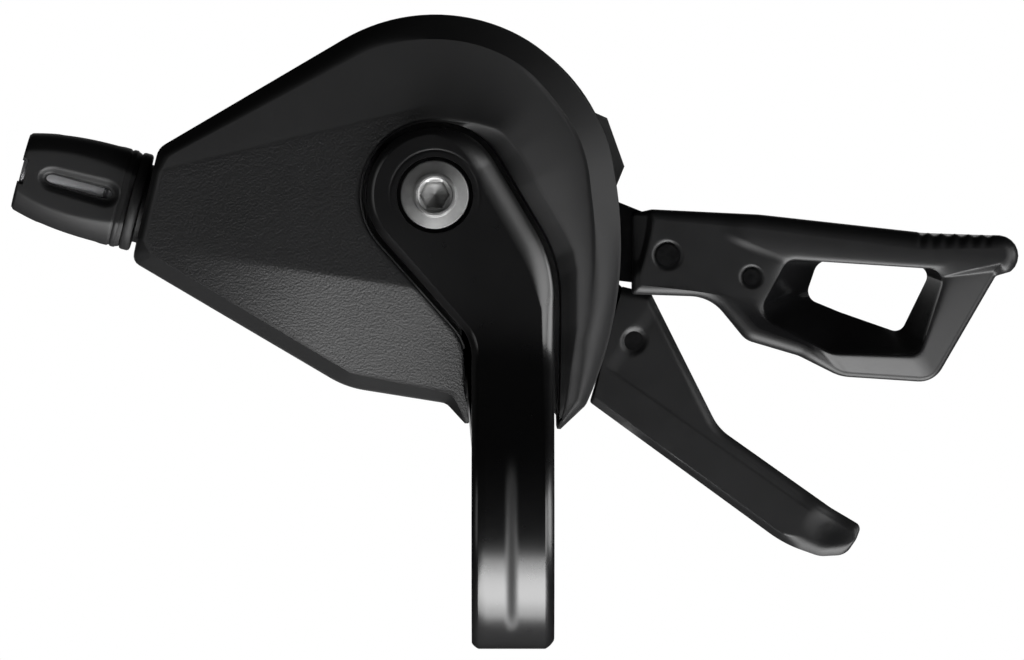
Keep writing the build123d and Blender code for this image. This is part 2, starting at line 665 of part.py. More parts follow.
# Release lever plate: hub, arm into the paddle, tail that trips the holding pawl
with BuildPart() as release_lever_plate:
    with BuildSketch(body_plane(RELEASE_FAR)):
        Circle(HUB_R)
        with Locations(RELEASE_RIVET):
            Circle(release_end_r)
        make_hull()
    extrude(amount=LEVER_PLATE)
    with BuildSketch(body_plane(RELEASE_FAR)):
        with Locations(RELEASE_RIVET):
            Circle(release_end_r)
        with Locations(RELEASE_PIN):
            Circle(2 * RELEASE_PIN_R)
        make_hull()
    extrude(amount=LEVER_PLATE)
    with BuildSketch(body_plane(RELEASE_FAR)):
        Circle(HUB_R)
        with Locations(polar(TOOTH_TIP_R, HOLD_NOSE_ANGLE)):
            Circle(LEVER_PLATE)
        make_hull()
    extrude(amount=LEVER_PLATE)
    with BuildSketch(body_plane(RELEASE_FAR)):
        Circle(AXLE_R + AXLE_FIT)
        with Locations(RELEASE_RIVET):
            Circle(RELEASE_RIVET_R + RIVET_FIT)
        with Locations(RELEASE_PIN):
            Circle(RELEASE_PIN_R + RIVET_FIT)
    extrude(amount=LEVER_PLATE, mode=Mode.SUBTRACT)
release_lever_plate.part.label = "release_lever_plate"
export_step(release_lever_plate.part, "parts/release_lever_plate.step")

# Release lever paddle: root over the plate, thick upper flange, frame round the finger window
RELEASE_TOP = ((22.7, -2.1), (25.0, -1.6), (37.4, -2.2), (56.4, -4.3), (65.2, -4.6))
RELEASE_TIP = (67.3, -7.0)
RELEASE_HEEL = ((66.4, -8.8), (64.4, -9.3), (57.3, -21.6), (46.8, -20.9), (42.0, -18.5), (35.9, -16.7))
RELEASE_ROOT = ((31.8, -11.7), (22.7, -11.4))
RELEASE_ROUNDS = (0.6, 3.0, 5.0, 4.0, 2.5, 5.0)
WINDOW_NEAR_ROUND = 1.4
WINDOW_FAR_ROUND = 1.0
WINDOW_NEAR = ((40.6, -7.9), (59.0, -8.8), (55.9, -18.5), (45.6, -18.2), (37.6, -13.6))
WINDOW_FAR = ((44.2, -7.6), (57.2, -8.4), (53.5, -15.8), (46.8, -13.4), (42.7, -11.8))
root_near = RELEASE_NEAR - PADDLE_WALL / 2
with BuildPart() as release_lever_paddle:
    with BuildSketch(body_plane(RELEASE_PADDLE_FAR)):
        with BuildLine():
            upper = Polyline(*RELEASE_TOP)
            nose = ThreePointArc(upper @ 1, RELEASE_TIP, RELEASE_HEEL[0])
            lower = FilletPolyline(
                nose @ 1, *RELEASE_HEEL[1:], *RELEASE_ROOT, radius=RELEASE_ROUNDS
            )
            Line(lower @ 1, upper @ 0)
        make_face()
    extrude(amount=PADDLE_DEPTH)
    with BuildSketch(body_plane(RELEASE_PADDLE_NEAR)) as near_opening:
        with BuildLine():
            FilletPolyline(*WINDOW_NEAR, close=True, radius=WINDOW_NEAR_ROUND)
        make_face()
    with BuildSketch(body_plane(RELEASE_PADDLE_FAR)) as far_opening:
        with BuildLine():
            FilletPolyline(*WINDOW_FAR, close=True, radius=WINDOW_FAR_ROUND)
        make_face()
    loft(ruled=True, mode=Mode.SUBTRACT)
    with BuildSketch(body_plane(root_near)):
        Circle(RELEASE_TOP[1][0])
    extrude(amount=PADDLE_WALL, mode=Mode.SUBTRACT)
    with BuildSketch(body_plane(RELEASE_PADDLE_FAR)):
        Circle(RELEASE_TOP[1][0] + LEVER_PLATE)
    extrude(amount=RELEASE_PADDLE_FAR - RELEASE_FAR - PADDLE_WALL / 2, mode=Mode.SUBTRACT)
    add(release_lever_plate.part, mode=Mode.SUBTRACT)
    with BuildSketch(body_plane(RELEASE_PADDLE_FAR)):
        with Locations(RELEASE_RIVET):
            Circle(RELEASE_RIVET_R + RIVET_FIT)
        with Locations(RELEASE_PIN):
            Circle(RELEASE_PIN_R + RIVET_FIT)
    extrude(amount=PADDLE_DEPTH, mode=Mode.SUBTRACT)
release_lever_paddle.part.label = "release_lever_paddle"
export_step(release_lever_paddle.part, "parts/release_lever_paddle.step")

# Release lever rivets: one large, one small, sunk a little below the paddle's face
rivet_sink = CLIP / 2
with BuildPart() as release_lever_rivets:
    for spot, radius in ((RELEASE_RIVET, RELEASE_RIVET_R), (RELEASE_PIN, RELEASE_PIN_R)):
        with BuildSketch(body_plane(RELEASE_FAR)):
            with Locations(spot):
                Circle(radius)
        extrude(amount=RELEASE_FAR - RELEASE_PADDLE_NEAR - rivet_sink)
release_lever_rivets.part.label = "release_lever_rivets"
export_step(release_lever_rivets.part, "parts/release_lever_rivets.step")

# Main lever plate: hub, arm into the thumb paddle, arm for the driving pawl
drive_pin = polar((TOOTH_TIP_R + HOUSING_R - COVER_WALL) / 2, DRIVE_PIN_ANGLE)
with BuildPart() as main_lever_plate:
    for spot, radius in ((MAIN_RIVET, main_end_r), (drive_pin, PAWL_EYE_R + RUN_GAP)):
        with BuildSketch(body_plane(MAIN_FAR)):
            Circle(HUB_R)
            with Locations(spot):
                Circle(radius)
            make_hull()
        extrude(amount=LEVER_PLATE)
    with BuildSketch(body_plane(MAIN_FAR)):
        with Locations(MAIN_RIVET):
            Circle(main_end_r)
        with Locations(MAIN_PLATE_TIP):
            Circle(LEVER_PLATE)
        make_hull()
    extrude(amount=LEVER_PLATE)
    with BuildSketch(body_plane(MAIN_FAR)):
        Circle(AXLE_R + AXLE_FIT)
        with Locations(MAIN_RIVET):
            Circle(MAIN_RIVET_R + RIVET_FIT)
        with Locations(drive_pin):
            Circle(PAWL_PIN_R + RIVET_FIT)
    extrude(amount=LEVER_PLATE, mode=Mode.SUBTRACT)
main_lever_plate.part.label = "main_lever_plate"
export_step(main_lever_plate.part, "parts/main_lever_plate.step")

# Main lever paddle: root beside the covers, slim arm, scooped thumb tip
MAIN_OUTER = ((23.0, -12.0), (25.3, -12.0), (32.8, -26.9), (47.6, -37.2))
MAIN_TIP = (49.0, -39.0)
MAIN_INNER_WAY = 234.6
MAIN_OUTER_ROUNDS = (0.5, 6.0)
MAIN_INNER_ROUNDS = (14.0, 1.0)
MAIN_GROOVE = ((20.6, -20.4), (43.8, -36.8))
GROOVE_WIDTH = 1.0
GROOVE_DEPTH = 0.5
MAIN_INNER = ((46.6, -41.2), (40.6, -40.0), (18.4, -24.2), (19.9, -18.8))
with BuildPart() as main_lever_paddle:
    with BuildSketch(body_plane(MAIN_PADDLE_FAR)):
        with BuildLine():
            outer = FilletPolyline(*MAIN_OUTER, radius=MAIN_OUTER_ROUNDS)
            tip = ThreePointArc(outer @ 1, MAIN_TIP, MAIN_INNER[0])
            inner = FilletPolyline(tip @ 1, *MAIN_INNER[1:], radius=MAIN_INNER_ROUNDS)
            Line(inner @ 1, outer @ 0)
        make_face()
    extrude(amount=MAIN_DEPTH)
    bevel_depth = MAIN_PADDLE_NEAR + LEVER_PLATE / 2
    inner_bevel = sloping_plane(MAIN_INNER[1], MAIN_INNER_WAY, bevel_depth, BEVEL_SLOPE)
    split(bisect_by=inner_bevel, keep=Keep.BOTTOM)
    with BuildSketch(body_plane(MAIN_PADDLE_NEAR + GROOVE_DEPTH)):
        with BuildLine():
            Line(*MAIN_GROOVE)
        trace(line_width=GROOVE_WIDTH)
    extrude(amount=GROOVE_DEPTH, mode=Mode.SUBTRACT)
    add(main_lever_plate.part, mode=Mode.SUBTRACT)
    with BuildSketch(body_plane(MAIN_PADDLE_FAR)):
        with Locations(MAIN_RIVET):
            Circle(MAIN_RIVET_R + RIVET_FIT)
    extrude(amount=MAIN_DEPTH, mode=Mode.SUBTRACT)
main_lever_paddle.part.label = "main_lever_paddle"
export_step(main_lever_paddle.part, "parts/main_lever_paddle.step")

# Main lever rivet
with BuildPart() as main_lever_rivet:
    with BuildSketch(body_plane(MAIN_PADDLE_FAR - rivet_sink)):
        with Locations(MAIN_RIVET):
            Circle(MAIN_RIVET_R)
    extrude(amount=MAIN_DEPTH - 2 * rivet_sink)
main_lever_rivet.part.label = "main_lever_rivet"
export_step(main_lever_rivet.part, "parts/main_lever_rivet.step")

# Cable drum: holding ratchet, cable groove, driving ratchet, a spring pocket in each face
tooth_phase = HOLD_NOSE_ANGLE + NOSE_BEHIND_FACE
flange_r = TOOTH_TIP_R - TOOTH_DEPTH
groove_near = DRUM_NEAR + RATCHET
groove_far = DRUM_FAR - RATCHET
with BuildPart() as cable_drum:
    with BuildSketch(radial_plane(0)):
        with BuildLine():
            Polyline(
                (AXLE_R + AXLE_FIT, DRUM_NEAR),
                (flange_r, DRUM_NEAR),
                (flange_r, groove_near),
                (CABLE_R, PARTING - RATCHET / 2),
                (CABLE_R, PARTING + RATCHET / 2),
                (flange_r, groove_far),
                (flange_r, DRUM_FAR),
                (AXLE_R + AXLE_FIT, DRUM_FAR),
                close=True,
            )
        make_face()
    revolve(axis=PIVOT_AXIS)
    for far in (groove_near, DRUM_FAR):
        with BuildSketch(body_plane(far)):
            with BuildLine():
                Polyline(*ratchet_points(tooth_phase), close=True)
            make_face()
            Circle(SPRING_POCKET_R, mode=Mode.SUBTRACT)
        extrude(amount=RATCHET)
    for far in (DRUM_NEAR + SPRING_POCKET, DRUM_FAR):
        with BuildSketch(body_plane(far)):
            Circle(SPRING_POCKET_R)
            Circle(AXLE_R + WASHER, mode=Mode.SUBTRACT)
        extrude(amount=SPRING_POCKET, mode=Mode.SUBTRACT)
cable_drum.part.label = "cable_drum"
export_step(cable_drum.part, "parts/cable_drum.step")

# Spiral springs in the drum's pockets
spring_inner = AXLE_R + WASHER + 2 * STRIP
spring_outer = SPRING_POCKET_R - 2 * STRIP
spring_width = SPRING_POCKET - STRIP
with BuildPart() as drum_spring:
    with BuildSketch(body_plane(DRUM_NEAR + spring_width)):
        with BuildLine():
            spiral(spring_inner, spring_outer, 2)
        trace(line_width=STRIP)
    extrude(amount=spring_width - STRIP / 2)
drum_spring.part.label = "drum_spring"
export_step(drum_spring.part, "parts/drum_spring.step")

with BuildPart() as main_lever_spring:
    with BuildSketch(body_plane(DRUM_FAR - STRIP / 2)):
        with BuildLine():
            spiral(spring_inner, spring_outer, 2)
        trace(line_width=STRIP)
    extrude(amount=spring_width - STRIP / 2)
main_lever_spring.part.label = "main_lever_spring"
export_step(main_lever_spring.part, "parts/main_lever_spring.step")

# Pawls: an eye on a pin and a round nose, drawn lifted clear of the teeth
nose_path = TOOTH_TIP_R + PAWL_LIFT + PAWL_NOSE_R
hold_nose = polar(nose_path, HOLD_NOSE_ANGLE)
drive_nose = polar(nose_path, DRIVE_NOSE_ANGLE)
PAWLS = (
    ("hold_pawl", HOLD_PIN, hold_nose, groove_near - RUN_GAP),
    ("drive_pawl", drive_pin, drive_nose, DRUM_FAR - RUN_GAP),
)
for name, pin, nose_point, far in PAWLS:
    with BuildPart() as pawl:
        with BuildSketch(body_plane(far)):
            with Locations(pin):
                Circle(PAWL_EYE_R)
            with Locations(nose_point):
                Circle(PAWL_NOSE_R)
            make_hull()
            with Locations(pin):
                Circle(PAWL_PIN_R + AXLE_FIT, mode=Mode.SUBTRACT)
        extrude(amount=RATCHET - 2 * RUN_GAP)
    pawl.part.label = name
    export_step(pawl.part, f"parts/{name}.step")

# Pawl pins: riveted in the base plate and in the main lever plate, with a small head
PAWL_PINS = (
    ("hold_pawl_pin", HOLD_PIN, BASE_FAR, DRUM_NEAR),
    ("drive_pawl_pin", drive_pin, MAIN_FAR, groove_far),
)
for name, pin, far, near in PAWL_PINS:
    with BuildPart() as pawl_pin:
        with BuildSketch(body_plane(far)):
            with Locations(pin):
                Circle(PAWL_PIN_R)
        extrude(amount=far - near)
        with BuildSketch(body_plane(near)):
            with Locations(pin):
                Circle(PAWL_PIN_R + 2 * WIRE_R)
        extrude(amount=WIRE_R)
    pawl_pin.part.label = name
    export_step(pawl_pin.part, f"parts/{name}.step")

# Wire springs: one coil and two legs
RELEASE_COIL_R = AXLE_R + 2 * CLIP + 6 * WIRE_R
PAWL_COIL_R = PAWL_PIN_R + 3 * WIRE_R
WIRE_SPRINGS = (
    ("release_lever_spring", (0, 0), RELEASE_COIL_R, CLIP_NEAR + CLIP / 2, (150, 240), RELEASE_LEG),
    ("hold_pawl_spring", HOLD_PIN, PAWL_COIL_R, groove_near + 2 * WIRE_R, (60, 200), HOLD_LEG),
    ("drive_pawl_spring", drive_pin, PAWL_COIL_R, DRUM_FAR + WIRE_R + RUN_GAP, (190, 290), DRIVE_LEG),
)
for name, spot, coil_r, depth, legs, length in WIRE_SPRINGS:
    coil_plane = body_plane(depth)
    coil_centre = coil_plane.from_local_coords(Vector(*spot))
    with BuildPart() as wire_spring:
        with BuildSketch(Plane(origin=coil_centre, x_dir=(1, 0, 0), z_dir=(0, 0, 1))):
            with Locations((coil_r, 0)):
                Circle(WIRE_R)
        revolve(axis=Axis(coil_centre, (0, 1, 0)))
        for leg in legs:
            outwards = Vector(cos(radians(leg)), 0, sin(radians(leg)))
            with BuildSketch(Plane(origin=coil_centre + outwards * coil_r, z_dir=outwards)):
                Circle(WIRE_R)
            extrude(amount=length)
    wire_spring.part.label = name
    export_step(wire_spring.part, f"parts/{name}.step")

# Adjuster collar: flange beside the barrel, neck seated in both covers
collar_near = adjuster_seat + COLLAR_GAP
with BuildPart() as adjuster_collar:
    with BuildSketch(adjuster_plane(adjuster_seat)):
        Circle(COLLAR_NECK_R)
    extrude(amount=COLLAR_GAP)
    with BuildSketch(adjuster_plane(collar_near)):
        Circle(BARREL_R)
    extrude(amount=COLLAR)
    flange_edges = adjuster_collar.edges().filter_by(GeomType.CIRCLE).sort_by(SortBy.RADIUS)[-2:]
    chamfer(flange_edges, length=COLLAR_BEVEL)
    with BuildSketch(adjuster_plane(adjuster_seat)):
        Circle(SLEEVE_R + SLEEVE_FIT)
    extrude(amount=COLLAR_GAP + COLLAR, mode=Mode.SUBTRACT)
adjuster_collar.part.label = "adjuster_collar"
export_step(adjuster_collar.part, "parts/adjuster_collar.step")

# Adjuster sleeve: threaded into the covers, with a socket for the cable casing
barrel_near = collar_near + COLLAR + 3 * RUN_GAP
barrel_end = barrel_near + BARREL
sleeve_end = barrel_end - BARREL_NOTCH[0] / 2
with BuildPart() as adjuster_sleeve:
    with BuildSketch(adjuster_plane(adjuster_seat - SLEEVE_TAIL)):
        Circle(SLEEVE_R)
        Circle(WIRE_HOLE_R, mode=Mode.SUBTRACT)
    extrude(amount=sleeve_end - adjuster_seat + SLEEVE_TAIL)
    with BuildSketch(adjuster_plane(sleeve_end - CASING_DEPTH)):
        Circle(CASING_R)
    extrude(amount=CASING_DEPTH, mode=Mode.SUBTRACT)
adjuster_sleeve.part.label = "adjuster_sleeve"
export_step(adjuster_sleeve.part, "parts/adjuster_sleeve.step")

# Adjuster barrel: barrel-shaped grip with slots and end notches
barrel_base = adjuster_plane(barrel_near)


def barrel_face(angle):
    """Plane through the adjuster's axis that faces out at an angle about it; local y runs outwards."""
    facing = Vector(0, -1, 0) * cos(radians(angle)) + barrel_base.x_dir * sin(radians(angle))
    return Plane(origin=barrel_base.origin, x_dir=barrel_base.z_dir.cross(facing), z_dir=facing)


slot_length, slot_width = BARREL_SLOT
notch_depth, notch_width = BARREL_NOTCH
slot_middle = slot_length / 2 + WASHER
with BuildPart() as adjuster_barrel:
    with BuildSketch(barrel_face(0)):
        with BuildLine():
            side = ThreePointArc((BARREL_R, 0), (BARREL_MID_R, BARREL / 2), (BARREL_END_R, BARREL))
            Polyline(side @ 1, (SLEEVE_R + RIVET_FIT, BARREL), (SLEEVE_R + RIVET_FIT, 0), side @ 0)
        make_face()
    revolve(axis=Axis(barrel_base.origin, barrel_base.z_dir))
    for quarter in range(BARREL_SLOTS):
        with BuildSketch(barrel_face(360 / BARREL_SLOTS * quarter)):
            with Locations((0, slot_middle)):
                SlotOverall(slot_length, slot_width, rotation=90)
            with Locations((0, BARREL)):
                Rectangle(notch_width, 2 * notch_depth)
        extrude(amount=2 * BARREL_R, mode=Mode.SUBTRACT)
adjuster_barrel.part.label = "adjuster_barrel"
export_step(adjuster_barrel.part, "parts/adjuster_barrel.step")
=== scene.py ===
"""Trigger gear shifter, dressed and lit.

Body coordinates are millimetres from the lever pivot: u to the right, v up and depth away from the
side that carries the clamp arm. Meshes are handed to Blender in metres, in the frame of the solids.
"""

import json
import logging
import math
from dataclasses import dataclass, field
from enum import Enum
from typing import Any, Optional, Sequence, Union

import bmesh
import bpy
import numpy as np
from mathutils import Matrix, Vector


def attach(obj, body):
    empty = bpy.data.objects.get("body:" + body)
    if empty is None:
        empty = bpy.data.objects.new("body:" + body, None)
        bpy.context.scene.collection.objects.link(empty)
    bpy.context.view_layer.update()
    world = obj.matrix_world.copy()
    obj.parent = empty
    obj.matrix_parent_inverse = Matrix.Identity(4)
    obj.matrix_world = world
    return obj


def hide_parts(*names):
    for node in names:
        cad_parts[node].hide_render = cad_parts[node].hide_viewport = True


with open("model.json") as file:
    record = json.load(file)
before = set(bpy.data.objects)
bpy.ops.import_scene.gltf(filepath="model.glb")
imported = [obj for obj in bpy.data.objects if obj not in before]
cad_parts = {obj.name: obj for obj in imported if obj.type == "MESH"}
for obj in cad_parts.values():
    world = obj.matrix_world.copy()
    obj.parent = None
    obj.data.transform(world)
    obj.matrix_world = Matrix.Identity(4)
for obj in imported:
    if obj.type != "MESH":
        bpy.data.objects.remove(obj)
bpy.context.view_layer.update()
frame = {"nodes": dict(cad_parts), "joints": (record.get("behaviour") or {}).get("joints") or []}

LOG = logging.getLogger("shifter")
Array = np.ndarray
Point = tuple[float, float]
Number = Union[float, Array]
Tone = tuple[float, float, float]

MM = 0.001
PIVOT = np.array(next(j["pos_m"] for j in frame["joints"] if j["name"] == "main_lever_pivot")) / MM


class Body(Enum):
    """Moving bodies of the shifter that new pieces ride on."""

    CASE = "mount_and_case"
    MAIN = "main_lever"
    RELEASE = "release_lever"
    ADJUSTER = "adjuster"


# Plane geometry


def soft_max(a: Number, b: Number, width: Number) -> Number:
    """The larger of two values, with the corner between them rounded over a width."""
    return (a + b + np.sqrt((a - b) ** 2 + width**2)) / 2


def soft_min(a: Number, b: Number, width: Number) -> Number:
    """The smaller of two values, with the corner between them rounded over a width."""
    return (a + b - np.sqrt((a - b) ** 2 + width**2)) / 2


def ramp(x: Number, low: float, high: float) -> Number:
    """Smooth step: 0 below low, 1 above high, cubic between."""
    t = np.clip((x - low) / (high - low), 0.0, 1.0)
    return t * t * (3 - 2 * t)


def polar(radius: Number, degrees: Number) -> Array:
    """Points at a radius and an angle about the pivot, as (..., 2)."""
    turn = np.radians(degrees)
    return np.stack([radius * np.cos(turn), radius * np.sin(turn)], axis=-1)


def beyond(uv: Array, point: Point, degrees: float) -> Array:
    """How far points (..., 2) lie past a line through a point, measured in the direction of an angle."""
    way = math.radians(degrees)
    return (uv[..., 0] - point[0]) * math.cos(way) + (uv[..., 1] - point[1]) * math.sin(way)


def unit(vectors: Array) -> Array:
    """Vectors scaled to length 1."""
    return vectors / np.linalg.norm(vectors, axis=-1, keepdims=True)


def arc_through(a: Point, b: Point, c: Point, count: int) -> Array:
    """Points along the circle through three points, from the first to the last.

    The centre solves the two equations that say it is as far from a as from b and from c.

    Args:
        a: first point. b: point on the way. c: last point. count: how many points to return.

    Returns:
        Points as (count, 2).
    """
    p, q, r = (np.array(x, float) for x in (a, b, c))
    centre = np.linalg.solve(2 * np.array([q - p, r - p]), [q @ q - p @ p, r @ r - p @ p])
    angles = np.unwrap([math.atan2(x[1] - centre[1], x[0] - centre[0]) for x in (p, q, r)])
    turn = np.linspace(angles[0], angles[2], count)
    return centre + np.linalg.norm(p - centre) * np.stack([np.cos(turn), np.sin(turn)], axis=-1)


def inset(corners: Array, amounts: Number) -> Array:
    """Corners of a clockwise outline moved inwards along the bisector of their two edges.

    Args:
        corners: outline corners as (n, 2). amounts: distance from the edges, one value or one a corner.

    Returns:
        Moved corners as (n, 2).
    """
    before = unit(corners - np.roll(corners, 1, axis=0))
    after = unit(np.roll(corners, -1, axis=0) - corners)
    normal = np.stack([before[:, 1], -before[:, 0]], axis=-1)
    middle = unit(normal + np.stack([after[:, 1], -after[:, 0]], axis=-1))
    reach = amounts / np.sum(middle * normal, axis=1)
    return corners + middle * np.reshape(reach, (-1, 1))


@dataclass(frozen=True)
class Track:
    """Plane path of straight runs joined by tangent arcs, measured by its length.

    points are dense, run is the length up to each of them, keys the length at each corner.
    """

    points: Array
    run: Array
    keys: Array
    closed: bool

    @classmethod
    def through(cls, corners: Any, radii: Any = 0.0, closed: bool = True, steps: int = 9) -> "Track":
        """Rounds each corner with an arc that leaves both runs by radius times tan(turn / 2).

        Args:
            corners: corners as (n, 2). radii: one radius or one a corner. closed: join the ends.
            steps: points on each arc.

        Returns:
            The path.
        """
        p = np.asarray(corners, float)
        r = np.broadcast_to(np.asarray(radii, float), len(p)).copy()
        if not closed:
            r[[0, -1]] = 0
        a, b = unit(p - np.roll(p, 1, axis=0)), unit(np.roll(p, -1, axis=0) - p)
        turn = np.arctan2(a[:, 0] * b[:, 1] - a[:, 1] * b[:, 0], np.sum(a * b, axis=1))
        side = np.sign(turn)[:, None] * np.stack([-a[:, 1], a[:, 0]], axis=-1)
        trim = np.where(r > 0, r * np.tan(np.abs(turn) / 2), 0)
        swing = np.abs(turn)[:, None] * np.linspace(0, 1, steps)
        arc = r[:, None, None] * (
            np.sin(swing)[..., None] * a[:, None] + (1 - np.cos(swing))[..., None] * side[:, None]
        )
        dense = ((p - a * trim[:, None])[:, None] + arc).reshape(-1, 2)
        if closed:
            dense = np.vstack([dense, dense[:1]])
        run = np.concatenate([[0], np.cumsum(np.linalg.norm(np.diff(dense, axis=0), axis=1))])
        keys = run[steps // 2 : len(p) * steps : steps]
        return cls(dense, run + np.arange(len(run)) * 1e-9, keys, closed)

    @property
    def length(self) -> float:
        """Length of the whole path."""
        return float(self.run[-1])

    def at(self, distance: Array) -> Array:
        """Points at given distances along the path, as (..., 2)."""
        s = np.mod(distance, self.length) if self.closed else distance
        return np.stack([np.interp(s, self.run, self.points[:, k]) for k in (0, 1)], axis=-1)

    def near(self, spots: Any) -> Array:
        """Distance along the path of its nearest point to each spot."""
        s = np.linspace(0, self.length, 6000)
        gaps = np.linalg.norm(self.at(s)[None] - np.asarray(spots, float)[:, None], axis=-1)
        return s[np.argmin(gaps, axis=1)]

    def paired(self, distance: Array, own: Any, other: "Track", theirs: Any) -> Array:
        """Points of another path that go with distances on this one, by pairs of matching spots.

        Args:
            distance: distances on this path. own: spots on this path, in order.
            other: the other path. theirs: the spot on it for each of own.

        Returns:
            Points on the other path as (n, 2).
        """
        mine, match = self.near(own), other.near(theirs)
        if self.closed:
            mine = np.unwrap(mine, period=self.length)
            match = np.unwrap(match, period=other.length)
            mine = np.append(mine, mine[0] + self.length)
            match = np.append(match, match[0] + other.length)
            distance = mine[0] + np.mod(distance - mine[0], self.length)
        return other.at(np.interp(distance, mine, match))

    def matched(self, distance: Array, other: "Track") -> Array:
        """Points of another path, made of the same corners, that go with distances on this one."""
        own = np.append(self.keys, self.keys[0] + self.length)
        theirs = np.append(other.keys, other.keys[0] + other.length)
        return other.at(np.interp(own[0] + np.mod(distance - own[0], self.length), own, theirs))

    def valued(self, distance: Array, values: Any) -> Array:
        """A value at each distance, from one value at each corner of the path."""
        period = self.length if self.closed else None
        return np.interp(distance, self.keys, values, period=period)


# Surfaces


@dataclass
class Skin:
    """Vertices of a surface in millimetres and its faces as rows of vertex numbers."""

    points: Array
    faces: list[list[int]]
    values: dict[str, Array] = field(default_factory=dict)

    def __add__(self, other: "Skin") -> "Skin":
        """Both surfaces in one mesh."""
        shift = len(self.points)
        moved = [[n + shift for n in face] for face in other.faces]
        values = {name: np.concatenate([np.zeros(shift), value]) for name, value in other.values.items()}
        return Skin(np.vstack([self.points, other.points]), self.faces + moved, values)


def cells(rows: int, columns: int, wrap_rows: bool, wrap_columns: bool) -> Array:
    """Vertex numbers of the four corners of each cell of a grid, as (rows', columns', 4)."""
    number = np.arange(rows * columns).reshape(rows, columns)
    if wrap_rows:
        number = np.vstack([number, number[:1]])
    if wrap_columns:
        number = np.hstack([number, number[:, :1]])
    return np.stack([number[:-1, :-1], number[:-1, 1:], number[1:, 1:], number[1:, :-1]], axis=-1)


def grid_skin(grid: Array, wrap_rows: bool = False, wrap_columns: bool = True, caps: bool = False) -> Skin:
    """Surface over a grid of points, with a fan of triangles to the middle of each end row if capped.

    Args:
        grid: points as (rows, columns, 3). wrap_rows, wrap_columns: join the last to the first.
        caps: close the first and last row.

    Returns:
        The surface.
    """
    rows, columns = grid.shape[:2]
    points = grid.reshape(-1, 3)
    faces = cells(rows, columns, wrap_rows, wrap_columns).reshape(-1, 4).tolist()
    if caps:
        number = np.arange(rows * columns).reshape(rows, columns)
        for row in (0, rows - 1):
            hub = np.full(columns, len(points))
            points = np.vstack([points, grid[row].mean(axis=0)])
            faces += np.stack([number[row], np.roll(number[row], -1), hub], axis=-1).tolist()
    return Skin(points, faces)


def shell_skin(outer: Array, inner: Array, keep: Array) -> Skin:
    """Wall between two grids with columns that close, open where cells aren't kept.

    Every cell edge that has a kept cell on one side only gets a rim face from one grid to the other.

    Args:
        outer, inner: points as (rows, columns, 3). keep: which cells stay, as (rows - 1, columns).

    Returns:
        The closed surface.
    """
    rows, columns = outer.shape[:2]
    half = rows * columns
    quads = cells(rows, columns, False, True)
    number = np.arange(half).reshape(rows, columns)
    faces = [quads[keep], quads[keep][:, ::-1] + half]
    padded = np.vstack([np.zeros((1, columns), bool), keep, np.zeros((1, columns), bool)])
    row, column = np.nonzero(padded[1:] != padded[:-1])
    a, b = number[row, column], number[row, (column + 1) % columns]
    faces.append(np.stack([a, b, b + half, a + half], axis=-1))
    row, column = np.nonzero(keep != np.roll(keep, 1, axis=1))
    a, b = number[row, column], number[row + 1, column]
    faces.append(np.stack([a, b, b + half, a + half], axis=-1))
    return Skin(np.vstack([outer.reshape(-1, 3), inner.reshape(-1, 3)]), np.vstack(faces).tolist())


def on_body(uv: Array, depth: Number) -> Array:
    """Points of the part's frame in millimetres from body points (..., 2) and their depth."""
    depth = np.broadcast_to(depth, uv.shape[:-1])
    return np.stack([uv[..., 0] + PIVOT[0], depth, uv[..., 1] + PIVOT[2]], axis=-1)


def blend(a: Array, b: Array, shares: Array) -> Array:
    """Rows of points from path a to path b, one row for each share of the way, as (rows, n, 2)."""
    return a[None] + (b - a)[None] * np.reshape(shares, (-1, 1, 1))


def eased(count: int) -> Array:
    """Shares from 0 to 1 that crowd together towards both ends."""
    return (1 - np.cos(np.linspace(0, math.pi, count))) / 2


def dimple(uv: Array, spot: Point, radius: float, depth: float) -> Array:
    """Round sink: a depth inside a radius that fades out on a smooth step beyond it."""
    away = np.hypot(uv[..., 0] - spot[0], uv[..., 1] - spot[1])
    return depth * (1 - ramp(away, radius, radius + 0.7))


# Shader nodes


class Sock:
    """A node's output, on which the arithmetic operators add Math nodes."""

    def __init__(self, shader: "Shader", socket: bpy.types.NodeSocket) -> None:
        """Wraps a socket of a shader's tree."""
        self.shader, self.socket = shader, socket

    def _math(self, operation: str, a: Any, b: Any) -> "Sock":
        """Result of one Math node."""
        return self.shader.node("ShaderNodeMath", {"operation": operation}, {0: a, 1: b})

    def __add__(self, other: Any) -> "Sock":
        """Sum."""
        return self._math("ADD", self, other)

    __radd__ = __add__

    def __sub__(self, other: Any) -> "Sock":
        """Difference."""
        return self._math("SUBTRACT", self, other)

    def __rsub__(self, other: Any) -> "Sock":
        """Difference from a number."""
        return self._math("SUBTRACT", other, self)

    def __mul__(self, other: Any) -> "Sock":
        """Product."""
        return self._math("MULTIPLY", self, other)

    __rmul__ = __mul__

    def sine(self) -> "Sock":
        """Sine of the value."""
        return self._math("SINE", self, 0.0)

    def between(self, low: float, high: float) -> "Sock":
        """Smooth step of the value from 0 at low to 1 at high."""
        settings = {"interpolation_type": "SMOOTHSTEP"}
        sockets = {"Value": self, "From Min": low, "From Max": high}
        return self.shader.node("ShaderNodeMapRange", settings, sockets)


